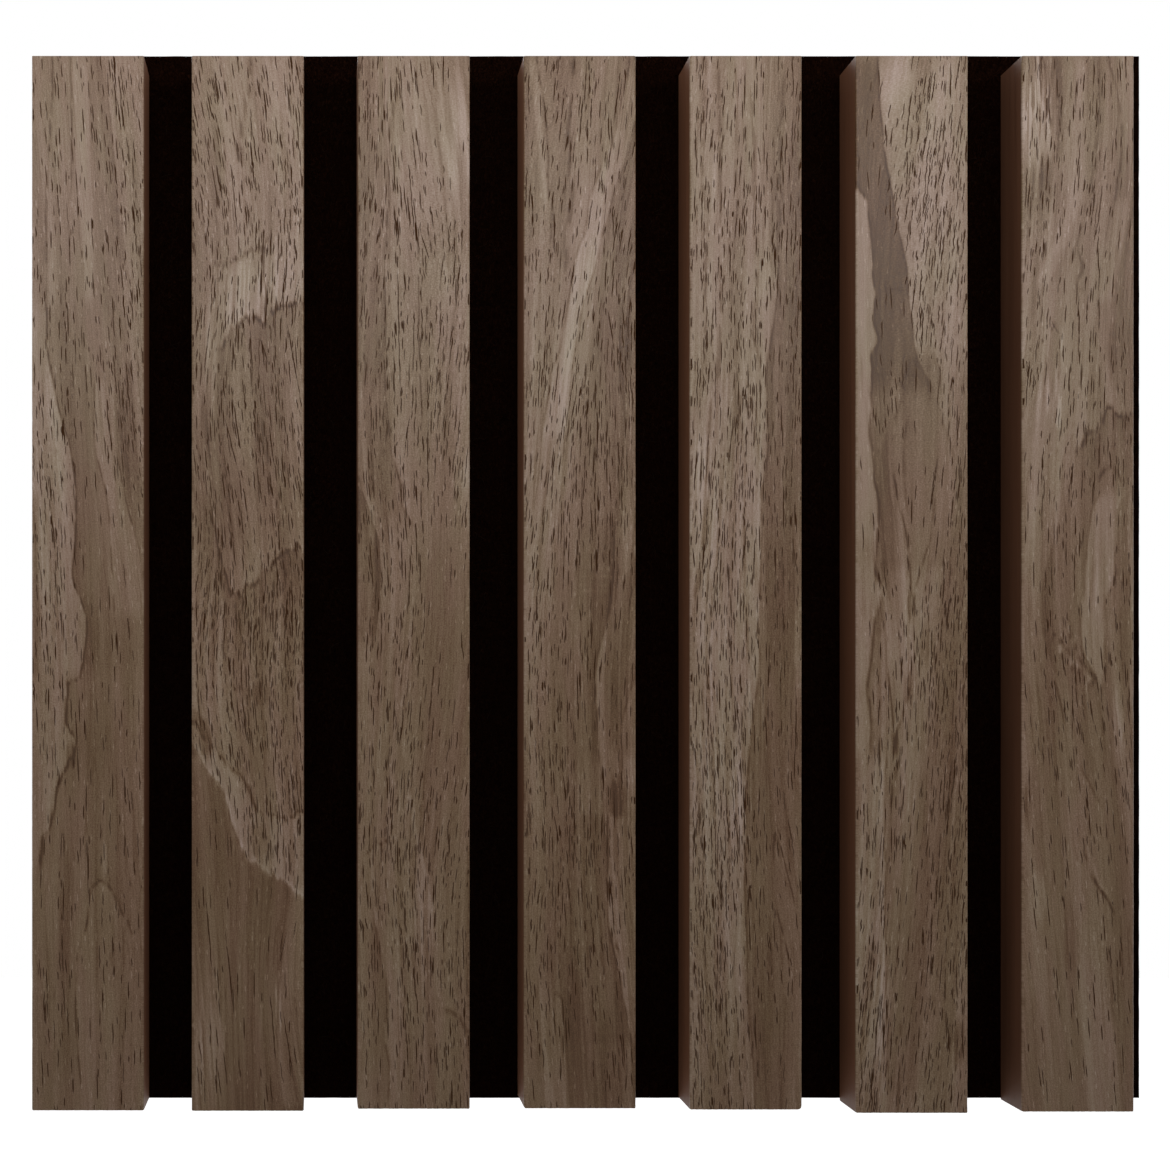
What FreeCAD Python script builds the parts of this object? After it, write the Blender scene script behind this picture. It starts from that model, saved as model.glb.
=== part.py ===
import FreeCAD, Part
import math
import os

# Acoustic slat wall panel: veneered slats on a sheet of felt, stapled through the felt from behind.
# Lengths are in millimetres. The origin is the centre of the back face, where the panel meets the wall.
# +Z is up along the slats, +X to the right as seen from the room, and the slats face the room along -Y.

# Slats: a fibreboard core and a thin face veneer of the same outline
slat_width = 27.0
slat_length = 254.0
slat_gap = 13.0
first_gap = 11.5
core_thickness = 11.4
veneer_thickness = 0.6
arris_radius = 0.4

# One row for each slat, from the left: how far its foot is sawn below the felt's lower edge,
# and the radius worn on its lower left and lower right corner
slat_feet = (
    (0.0, 0.3, 0.2),
    (0.1, 0.2, 0.2),
    (-0.4, 0.2, 0.2),
    (-0.5, 0.6, 0.3),
    (-0.2, 0.2, 1.1),
    (0.6, 0.2, 0.3),
    (0.3, 0.2, 0.4),
)

# Felt: flush with the first slat's left side and with the slats' nominal foot, and open past the rest
felt_thickness = 9.0
felt_right_lip = 7.5
felt_top_lip = 5.0

# Staples: flat wire bent to a U, driven from behind across each slat until the crown sinks into the felt
staple_rows = 3
staple_end_distance = 32.0
staple_crown = 10.0
staple_leg = 14.0
staple_bend_radius = 0.9
staple_tip_length = 0.8
staple_set_depth = 0.4
wire_thickness = 0.6
wire_width = 1.2

# Sizes that follow from the ones above
slat_count = len(slat_feet)
slats_span = slat_count * slat_width + first_gap + (slat_count - 2) * slat_gap
felt_width = slats_span + felt_right_lip
felt_height = slat_length + felt_top_lip

left = -felt_width / 2
bottom = -felt_height / 2
top = bottom + felt_height
slat_top = top - felt_top_lip

back = 0.0
felt_front = back - felt_thickness
core_front = felt_front - core_thickness
panel_front = core_front - veneer_thickness

ALONG_X = FreeCAD.Vector(1, 0, 0)
ALONG_Y = FreeCAD.Vector(0, 1, 0)
ALONG_Z = FreeCAD.Vector(0, 0, 1)


def rounded_prism(corners, across, up, start, along):
    """Solid of a closed outline of (a, b, radius) corners, each rounded by its radius, extruded along a vector."""
    places = [start + across * a + up * b for a, b, radius in corners]
    ends = []
    arcs = []
    for i, (a, b, radius) in enumerate(corners):
        corner = places[i]
        if radius <= 0:
            ends.append((corner, corner))
            arcs.append(None)
            continue
        back_way = (places[i - 1] - corner).normalize()
        next_way = (places[(i + 1) % len(places)] - corner).normalize()
        half_angle = back_way.getAngle(next_way) / 2
        setback = radius / math.tan(half_angle)
        inward = (back_way + next_way).normalize()
        middle = corner + inward * (radius / math.sin(half_angle) - radius)
        ends.append((corner + back_way * setback, corner + next_way * setback))
        arcs.append(Part.Arc(ends[i][0], middle, ends[i][1]).toShape())
    edges = []
    for i, arc in enumerate(arcs):
        line_start = ends[i - 1][1]
        line_end = ends[i][0]
        edges.append(Part.LineSegment(line_start, line_end).toShape())
        if arc:
            edges.append(arc)
    return Part.Face(Part.Wire(edges)).extrude(along)


def slat_left(index):
    """Left side of a slat, counted from 0: the first gap is narrower than the others."""
    if index == 0:
        return left
    return left + slat_width + first_gap + (index - 1) * (slat_width + slat_gap)


def slat_outline(index):
    """Outline of one slat seen from the room, as a prism through the whole panel."""
    drop, left_radius, right_radius = slat_feet[index]
    x = slat_left(index)
    foot = bottom - drop
    corners = [
        (x, foot, left_radius),
        (x + slat_width, foot, right_radius),
        (x + slat_width, slat_top, 0),
        (x, slat_top, 0),
    ]
    behind = ALONG_Y * back
    return rounded_prism(corners, ALONG_X, ALONG_Z, behind, ALONG_Y * (panel_front - back))


def slat_bar(index, rear, front, front_radius):
    """Bar of the slat's width between two depths, with its front long edges eased, before its foot is cut."""
    x = slat_left(index)
    longest_drop = max(drop for drop, left_radius, right_radius in slat_feet)
    foot = bottom - longest_drop
    corners = [
        (x, rear, 0),
        (x, front, front_radius),
        (x + slat_width, front, front_radius),
        (x + slat_width, rear, 0),
    ]
    return rounded_prism(corners, ALONG_X, ALONG_Y, ALONG_Z * foot, ALONG_Z * (slat_top - foot))


def slat_core(index):
    """Fibreboard core of one slat, before the staples are driven."""
    return slat_bar(index, felt_front, core_front, 0).common(slat_outline(index))


def face_veneer(index):
    """Veneer on one slat's front, flush with the core, with eased long edges."""
    eased = min(arris_radius, 0.9 * veneer_thickness)
    return slat_bar(index, core_front, panel_front, eased).common(slat_outline(index))


def staple_places():
    """Centre of each staple's crown, as (slat index, x, z)."""
    low = bottom + staple_end_distance
    high = slat_top - staple_end_distance
    places = []
    for index in range(slat_count):
        x = slat_left(index) + slat_width / 2
        for row in range(staple_rows):
            z = low + (high - low) * row / max(staple_rows - 1, 1)
            places.append((index, x, z))
    return places


def staple(x, z):
    """One staple: its legs point into the slat and their tips are cut slantwise."""
    outer = staple_crown / 2
    inner = outer - wire_thickness
    crown_back = back - staple_set_depth
    tip = crown_back - staple_leg
    inner_bend_radius = max(staple_bend_radius - wire_thickness, 0.0)
    corners = [
        (-outer, tip, 0),
        (-outer, crown_back, staple_bend_radius),
        (outer, crown_back, staple_bend_radius),
        (outer, tip, 0),
        (inner, tip + staple_tip_length, 0),
        (inner, crown_back - wire_thickness, inner_bend_radius),
        (-inner, crown_back - wire_thickness, inner_bend_radius),
        (-inner, tip + staple_tip_length, 0),
    ]
    start = ALONG_X * x + ALONG_Z * (z - wire_width / 2)
    return rounded_prism(corners, ALONG_X, ALONG_Y, start, ALONG_Z * wire_width)


def crown_recess(x, z):
    """Slot that the sunk crown leaves in the felt's back, open to the back face."""
    depth = staple_set_depth + wire_thickness
    corner = FreeCAD.Vector(x - staple_crown / 2, back - depth, z - wire_width / 2)
    return Part.makeBox(staple_crown, depth, wire_width, corner)


def felt_backing(staples):
    """Sheet of felt behind all the slats, with the room that each driven staple takes in it."""
    sheet = Part.makeBox(felt_width, felt_thickness, felt_height, FreeCAD.Vector(left, felt_front, bottom))
    recesses = [crown_recess(x, z) for index, x, z in staple_places()]
    return sheet.cut(recesses + staples)


def write(name, shape):
    """Save one piece of the panel under its own name."""
    shape.exportStep(os.path.join("parts", name + ".step"))


os.makedirs("parts", exist_ok=True)

places = staple_places()
staples = [staple(x, z) for index, x, z in places]

write("felt_backing", felt_backing(staples))
write("staples", Part.makeCompound(staples))
for index in range(slat_count):
    driven = [solid for solid, place in zip(staples, places) if place[0] == index]
    write("slat_core_%d" % (index + 1), slat_core(index).cut(driven))
    write("face_veneer_%d" % (index + 1), face_veneer(index))
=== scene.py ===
import math

import bpy
import numpy as np
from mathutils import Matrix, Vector


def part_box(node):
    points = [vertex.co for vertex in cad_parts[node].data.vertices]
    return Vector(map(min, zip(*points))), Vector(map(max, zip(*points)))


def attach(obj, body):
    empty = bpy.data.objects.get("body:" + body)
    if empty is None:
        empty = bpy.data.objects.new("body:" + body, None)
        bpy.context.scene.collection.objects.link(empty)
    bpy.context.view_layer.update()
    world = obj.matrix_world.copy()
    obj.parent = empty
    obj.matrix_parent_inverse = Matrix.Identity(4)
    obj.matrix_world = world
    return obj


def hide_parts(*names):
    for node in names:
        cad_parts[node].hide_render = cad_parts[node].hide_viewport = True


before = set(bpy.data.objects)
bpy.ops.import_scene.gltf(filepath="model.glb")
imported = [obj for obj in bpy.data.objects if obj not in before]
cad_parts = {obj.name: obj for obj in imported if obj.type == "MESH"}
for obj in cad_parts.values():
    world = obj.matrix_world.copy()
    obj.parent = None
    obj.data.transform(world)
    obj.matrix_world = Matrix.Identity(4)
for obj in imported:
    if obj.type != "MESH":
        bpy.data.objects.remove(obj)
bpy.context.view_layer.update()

# The scene is in metres. The wood's figure is drawn in millimetres, from a slat's left side and its top.
MM = 0.001
SLATS = range(1, 1 + sum(name.startswith("face_veneer_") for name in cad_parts))

# Veneer grid, its eased long edges, and the relief that open grain leaves in the face
COLUMN_STEP = 0.18
ROW_STEP = 0.7
ARRIS_RADIUS = 0.4
ARRIS_STEPS = 4
PORE_DEPTH = 0.06
STREAK_DEPTH = 0.02

# Fibres: how far across and down a sample of their lie counts, how much of their spacing evens out from row
# to row, and the fewest and most of them to a millimetre that the pores allow for
LIE_REACH = (5, 18)
EVENING = 0.015
SPACING_RANGE = (0.3, 1.6)

# Streaks along the fibres: width, length and amount of each kind
STREAKS = ((8.0, 150.0, 0.12), (2.8, 80.0, 0.10), (1.2, 45.0, 0.08), (0.55, 20.0, 0.06))

# How wide the step in tone is at a border
BORDER_EDGE = 0.3

# Width of the drawn pores, then how many places are tried for short ones, their half lengths and their widths
STROKE_WIDTH = 0.17
PORE_TRIES = 600
PORE_HALF_LENGTHS = (0.7, 3.4)
PORE_WIDTHS = (0.12, 0.16)

# Saw's marks on each foot, and the radius worn on its left and right corner
SAW_MARKS = 0.05
FOOT_CORNERS = {1: (0.3, 0.2), 2: (0.2, 0.2), 3: (0.2, 0.2), 4: (0.6, 0.3), 5: (0.2, 1.1), 6: (0.2, 0.3),
                7: (0.2, 0.4)}

# Felt grid: its steps on the back, between the slats and upwards, and the extra lines around each staple
FELT_BACK_STEP = 2.1
FELT_FRONT_STEP = 1.3
FELT_ROW_STEP = 2.0
CROWN_COLUMNS = (-6.2, -5.2, -4.2, 4.2, 5.2, 6.2)
CROWN_ROWS = (-2.4, -1.4, -0.7, 0.0, 0.7, 1.4, 2.4)

# Felt's cut edges: their rings, how far the faces are drawn in there, and from how far inside
FELT_EDGE_STEPS = 8
FELT_EDGE_INSET = 0.15
FELT_EDGE_REACH = 3

# Felt relief: the height of its lumps in front and behind, and how deep and how far around a staple sinks in
FRONT_LUMPS = 0.16
BACK_LUMPS = 0.1
STAPLE_SINK = 0.65
CROWN_HALF = 5.0
SINK_REACH = (1.6, 2.4)

# Loose fibres on the felt
HAIR_COUNT = 1000
HAIR_STEPS = 3
HAIR_LENGTHS = (0.6, 2.6)
HAIR_RADII = (0.02, 0.04)


def smooth(value):
    """Eases from 0 to 1 as value goes from 0 to 1."""
    value = np.clip(value, 0, 1)
    return value * value * (3 - 2 * value)


def lattice_noise(x, y, seed):
    """Smooth noise between -1 and 1 whose features are one unit across."""
    size = 256
    table = np.random.default_rng(seed).uniform(-1, 1, (size, size))
    column = np.floor(x).astype(int)
    row = np.floor(y).astype(int)
    part_x = smooth(x - column)
    part_y = smooth(y - row)
    left, right = column % size, (column + 1) % size
    upper, lower = row % size, (row + 1) % size
    near = table[left, upper] * (1 - part_x) + table[right, upper] * part_x
    far = table[left, lower] * (1 - part_x) + table[right, lower] * part_x
    return near * (1 - part_y) + far * part_y


def curve(points, places):
    """A smooth line through (place, value) points, read at places and held level past its ends."""
    points = sorted(points)
    at = np.array([p[0] for p in points], float)
    value = np.array([p[1] for p in points], float)
    slope = np.gradient(value, at)
    places = np.clip(places, at[0], at[-1])
    index = np.clip(np.searchsorted(at, places) - 1, 0, len(at) - 2)
    span = at[index + 1] - at[index]
    t = (places - at[index]) / span
    start = (1 + 2 * t) * (1 - t) ** 2 * value[index] + t * (1 - t) ** 2 * span * slope[index]
    end = t * t * (3 - 2 * t) * value[index + 1] + t * t * (t - 1) * span * slope[index + 1]
    return start + end


class Wood:
    """The figure of one slat on a grid of x to the right and d down, in millimetres.

    Tone is 0 for the wood's mean colour, and one unit is the step from there to its palest or darkest.
    """

    def __init__(self, index, width, length):
        self.seed = 100 * index
        self.x_line = np.linspace(0, width, int(round(width / COLUMN_STEP)) + 1)
        self.d_line = np.linspace(0, length, int(round(length / ROW_STEP)) + 1)
        self.x, self.d = np.meshgrid(self.x_line, self.d_line)
        self.tone = np.zeros_like(self.x)
        self.pore = np.zeros_like(self.x)

    def grain(self, *samples):
        """Sets how the fibres lean and how many pores they hold, from (x, d, lean, pores) near each sample.

        Lean is how far the fibres go right for each millimetre down, and both are in hundredths.
        """
        across, down = LIE_REACH
        weights = 0
        lean = 0
        crowd = 0
        for x, d, sample_lean, sample_crowd in samples:
            near = np.exp(-(((self.x - x) / across) ** 2) - ((self.d - d) / down) ** 2) + 1e-9
            weights = weights + near
            lean = lean + near * sample_lean
            crowd = crowd + near * sample_crowd
        self.lean = lean / weights / 100
        self.crowd = crowd / weights / 100
        self.follow_fibres()
        self.streaks()

    def follow_fibres(self):
        """Numbers the fibres from left to right at half height, follows each up and down, and spaces them."""
        step = self.d_line[1] - self.d_line[0]
        middle = len(self.d_line) // 2
        self.fibre = np.zeros_like(self.x)
        self.fibre[middle] = self.x_line
        for row in range(middle + 1, len(self.d_line)):
            self.fibre[row] = self.next_row(self.fibre[row - 1], self.x_line - self.lean[row] * step)
        for row in range(middle - 1, -1, -1):
            self.fibre[row] = self.next_row(self.fibre[row + 1], self.x_line + self.lean[row] * step)
        self.spacing = np.clip(np.gradient(self.fibre, self.x_line, axis=1), *SPACING_RANGE)

    def next_row(self, fibre, origin):
        """The fibres of a row that come from these places in the row before, eased back to even spacing."""
        moved = np.interp(origin, self.x_line, fibre)
        moved += np.minimum(origin, 0) + np.maximum(origin - self.x_line[-1], 0)
        spacing = np.gradient(moved, self.x_line)
        eased = (1 - EVENING) * spacing + EVENING
        middle = len(moved) // 2
        total = np.concatenate([[0], np.cumsum((eased[1:] + eased[:-1]) / 2 * np.diff(self.x_line))])
        return moved[middle] + total - total[middle]

    def streaks(self):
        """Light and dark streaks of several widths, the narrow ones strongest where the pores are."""
        rough = np.clip(0.3 + 1.2 * self.crowd, 0, 1.3)
        for k, (width, length, amount) in enumerate(STREAKS):
            part = amount * lattice_noise(self.fibre / width + 40, self.d / length + 7 * k, self.seed + k)
            self.tone += part * rough if width < 2 else part

    def ragged(self, amount):
        """How far a border strays where it crosses the fibres."""
        coarse = lattice_noise(self.fibre / 0.9 + 11, self.d / 9, self.seed + 21)
        fine = lattice_noise(self.fibre / 0.4 + 5, self.d / 4, self.seed + 22)
        return amount * (0.6 * coarse + 0.4 * fine)

    def off(self, points, rag, fade, across=None):
        """Signed distance from a line, and a window that fades at its ends.

        A line that runs down counts to the right of it, and one that runs across counts below it.
        """
        first, last = points[0], points[-1]
        if across is None:
            across = abs(last[1] - first[1]) < abs(last[0] - first[0])
        if across:
            line = points
            where = curve(line, self.x_line)
            slope = np.gradient(where, self.x_line)
            distance = (self.d - where + 5 * self.ragged(rag)) / np.sqrt(1 + slope**2)
            along = self.x
        else:
            line = [(d, x) for x, d in points]
            where = curve(line, self.d_line)
            slope = np.gradient(where, self.d_line)[:, None]
            distance = (self.x - where[:, None] + self.ragged(rag)) / np.sqrt(1 + slope**2)
            along = self.d
        low = min(p[0] for p in line)
        high = max(p[0] for p in line)
        return distance, smooth((along - low) / fade + 0.5) * smooth((high - along) / fade + 0.5)

    def border(self, points, before, after, reach, rag=0.2, fade=6.0):
        """A step in tone from before, left or above, to after. Each fades from the line over its reach."""
        distance, window = self.off(points, rag, fade)
        side = smooth(distance / BORDER_EDGE + 0.5)
        left_reach, right_reach = reach if isinstance(reach, tuple) else (reach, reach)
        amount = (1 - side) * before * np.exp(np.minimum(distance, 0) / left_reach)
        amount += side * after * np.exp(-np.maximum(distance, 0) / right_reach)
        self.tone += amount * window

    def line(self, points, amount=-0.5, width=0.25, rag=0.2, fade=4.0, breaks=0.5, across=None):
        """A thin line along a border, broken into dashes."""
        distance, window = self.off(points, rag, fade, across)
        gaps = lattice_noise(self.fibre / 0.7 + 3, self.d / 3, self.seed + 31)
        window = window * smooth(0.5 + gaps / (2 * breaks + 0.01) + (1 - breaks) / 2)
        self.tone += amount * np.exp(-((distance / width) ** 2)) * window

    def zone(self, left, right, amount, edge=0.35, rag=0.2, fade=5.0, crowd=None, across=False):
        """An even area between two lines that run down, or that run across when told so."""
        from_left, left_window = self.off(left, rag, fade, across)
        from_right, right_window = self.off(right, rag, fade, across)
        inside = smooth(from_left / edge + 0.5) * smooth(0.5 - from_right / edge) * left_window * right_window
        self.tone += amount * inside
        self.set_crowd(inside, crowd)

    def set_crowd(self, inside, crowd):
        """Brings the crowd of pores inside an area to a given one, where one is given."""
        if crowd is not None:
            self.crowd += (crowd - self.crowd) * inside

    def patch(self, x, d, wide, tall, amount, edge=0.6, rag=1.0, crowd=None):
        """An oval area streaked along the fibres, soft for an edge near 1 and crisp for a small one."""
        ends = 0.35 * lattice_noise(self.fibre / 0.8 + x, self.d / 40, self.seed + 71)
        reach = np.hypot((self.x - x + self.ragged(rag)) / wide, (self.d - d) / tall + ends)
        inside = smooth((1 - reach) / edge + 0.5)
        streaks = 0.8 + 0.7 * lattice_noise(self.fibre / 0.5, self.d / 14, self.seed + 72)
        self.tone += amount * inside * streaks
        self.set_crowd(inside, crowd)

    def patches(self, edge, *ovals):
        """Several oval areas whose edges are equally soft."""
        for oval in ovals:
            self.patch(*oval, edge)

    def strokes(self, *strokes):
        """Long open pores, each given by its middle, its length and its lean where that isn't the fibres'."""
        for x, d, length, *given in strokes:
            fibres_lean = self.lean[int(round(d / self.d_line[1])), int(round(x / self.x_line[1]))]
            lean = given[0] if given else fibres_lean
            along = (self.d - d) / (length / 2)
            sway = 0.12 * lattice_noise(self.d / 2.5 + x, d, self.seed + 41)
            breaks = 0.75 + 0.25 * lattice_noise(self.d / 0.9 + d, x, self.seed + 42)
            away = (self.x - x - lean * (self.d - d) - sway) / STROKE_WIDTH
            value = breaks * np.sqrt(np.clip(1 - along**2, 0, 1)) * np.exp(-(away**2))
            self.pore = np.maximum(self.pore, value)

    def open_pores(self):
        """Short open pores all over, thickest where the crowd is."""
        rng = np.random.default_rng(self.seed + 50)
        margin = 0.6
        x = rng.uniform(margin, self.x_line[-1] - margin, PORE_TRIES)
        d = rng.uniform(0, self.d_line[-1], PORE_TRIES)
        column_step = self.x_line[1]
        row_step = self.d_line[1]
        column = np.round(x / column_step).astype(int)
        row = np.round(d / row_step).astype(int)
        clumps = 0.5 + 0.5 * lattice_noise(self.fibre[row, column] / 0.9 + 3, d / 25, self.seed + 51)
        kept = rng.uniform(0, 1, PORE_TRIES) < self.crowd[row, column] * (0.3 + 1.4 * clumps)
        x, d, row, column = x[kept], d[kept], row[kept], column[kept]
        half = rng.gamma(3.0, 0.6, len(x)).clip(*PORE_HALF_LENGTHS)
        width = rng.uniform(*PORE_WIDTHS, len(x))
        depth = rng.uniform(0.8, 1.0, len(x))
        lean = self.lean[row, column] + rng.normal(0, 0.02, len(x))
        reach = math.ceil(PORE_HALF_LENGTHS[1] / row_step) + 1
        for row_offset in range(-reach, reach + 1):
            at_row = row + row_offset
            along = (at_row * row_step - d) / (half + row_step / 3)
            inside = (np.abs(along) < 1) & (at_row >= 0) & (at_row < len(self.d_line))
            centre = x + lean * (at_row * row_step - d)
            strength = depth * np.sqrt(np.clip(1 - along**2, 0, 1))
            nearest = np.round(centre / column_step).astype(int)
            for column_offset in (-2, -1, 0, 1, 2):
                at_column = nearest + column_offset
                good = inside & (at_column >= 0) & (at_column < len(self.x_line))
                away = at_column * column_step - centre
                value = strength * np.exp(-((away / width) ** 2))
                np.maximum.at(self.pore, (at_row[good], at_column[good]), value[good])


# Each slat's figure after the photograph: the lie of its fibres, its areas, borders, lines and long pores


def figure_1(w):
    w.grain((8, 20, 3, 30), (14, 20, 8, 30), (20, 15, 13, 55), (25, 20, 10, 45), (2, 60, 0, 35),
            (10, 60, 3, 30), (18, 60, 10, 30), (24, 60, 12, 55), (4, 100, 8, 60), (4, 130, 5, 60),
            (14, 110, 6, 10), (23, 90, 12, 60), (23, 118, 12, 10), (4, 160, 3, 40), (14, 150, 2, 8),
            (23, 150, 2, 25), (6, 190, 0, 20), (16, 190, 0, 20), (24, 205, 10, 30), (6, 230, 6, 25),
            (14, 230, 2, 20), (22, 230, 0, 30))
    w.tone += 0.02
    w.patches(1.2, (16, 120, 6, 30, 0.1), (4, 225, 7, 32, -0.08), (2.5, 104, 5, 34, 0.14),
              (8, 18, 3.5, 30, 0.11), (19, 6, 3, 16, 0.12), (25.5, 50, 4, 50, -0.09), (19, 73, 4, 14, 0.1))
    w.line([(4.8, 0), (4.4, 14), (3.4, 28), (3.2, 50), (3, 62)], -0.35, 0.35)
    w.line([(9.3, 0), (9.6, 16), (9.2, 34)], -0.3, 0.3)
    w.zone([(9.6, 0), (10.6, 30), (12.2, 45), (13, 60)],
           [(13.7, 0), (14, 20), (15, 45), (14.5, 60)], 0.16, 1.2)
    w.zone([(15.2, 0), (17, 18), (19, 33), (21, 50)], [(18, 0), (19.5, 18), (21.2, 33), (23, 52)], -0.16, 1)
    edge = [(3.2, 60), (3.5, 70), (6, 84), (9.6, 97), (10.4, 117), (10, 127), (11.6, 131), (12.9, 135),
            (12.6, 144), (11.6, 149)]
    w.border(edge, 0.14, -0.2, (8, 6))
    w.line(edge)
    w.line([(8.4, 150.5), (10, 150), (11.8, 149.5)], -0.4, 0.4, fade=1)
    low = [(8.3, 151), (8.2, 156), (8.4, 161.7), (9.6, 163.5), (10.4, 165.5), (9.6, 168.3), (6.3, 175),
           (4.9, 182), (3.8, 186), (2.4, 188.4), (2.1, 191), (1.6, 195)]
    w.border(low, 0.1, -0.14, (5, 5))
    w.line(low, -0.6, 0.4)
    w.patches(0.8, (9.2, 168, 1.2, 3, -0.35), (24.5, 92, 3.5, 16, -0.1))
    left = [(15.1, 78), (15.4, 94), (17.9, 105), (18.8, 111), (19.4, 123), (20.4, 137)]
    w.zone(left, [(20, 78), (20.8, 96), (23.2, 108.5), (26.5, 121), (27.5, 135)], 0.14)
    w.line(left, -0.35)
    w.line([(20.8, 96), (23.2, 108.5), (24.8, 114), (26.5, 121)], -0.25)
    w.zone([(0, 105), (0, 150)], [(1.2, 105), (1.4, 150)], -0.25, 0.8)
    arch = [(13.7, 203.4), (14.3, 201), (16, 199), (18.2, 200), (19.8, 202), (21.5, 205.6), (23.2, 208),
            (24.4, 211)]
    w.border(arch, -0.12, 0.06, 3)
    w.line(arch, -0.35, 0.35)
    w.line([(13.7, 203.4), (13.2, 209), (12.1, 213), (11, 216), (10.7, 221), (11.2, 243), (11.8, 248)],
           -0.45)
    w.patch(17.6, 195, 0.7, 5, 0.12)
    w.patch(7.6, 208, 2.4, 18, -0.08, 0.9)
    w.strokes((9, 46.8, 9.5), (16.6, 21.5, 4.5), (20.3, 10, 12, 0.05), (21.2, 14, 9), (10.4, 70.6, 9),
              (20.5, 141, 5), (17.5, 221, 6.5), (13.5, 195, 16), (7.4, 203, 13), (2.2, 245, 12),
              (16.5, 232, 5))


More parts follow.
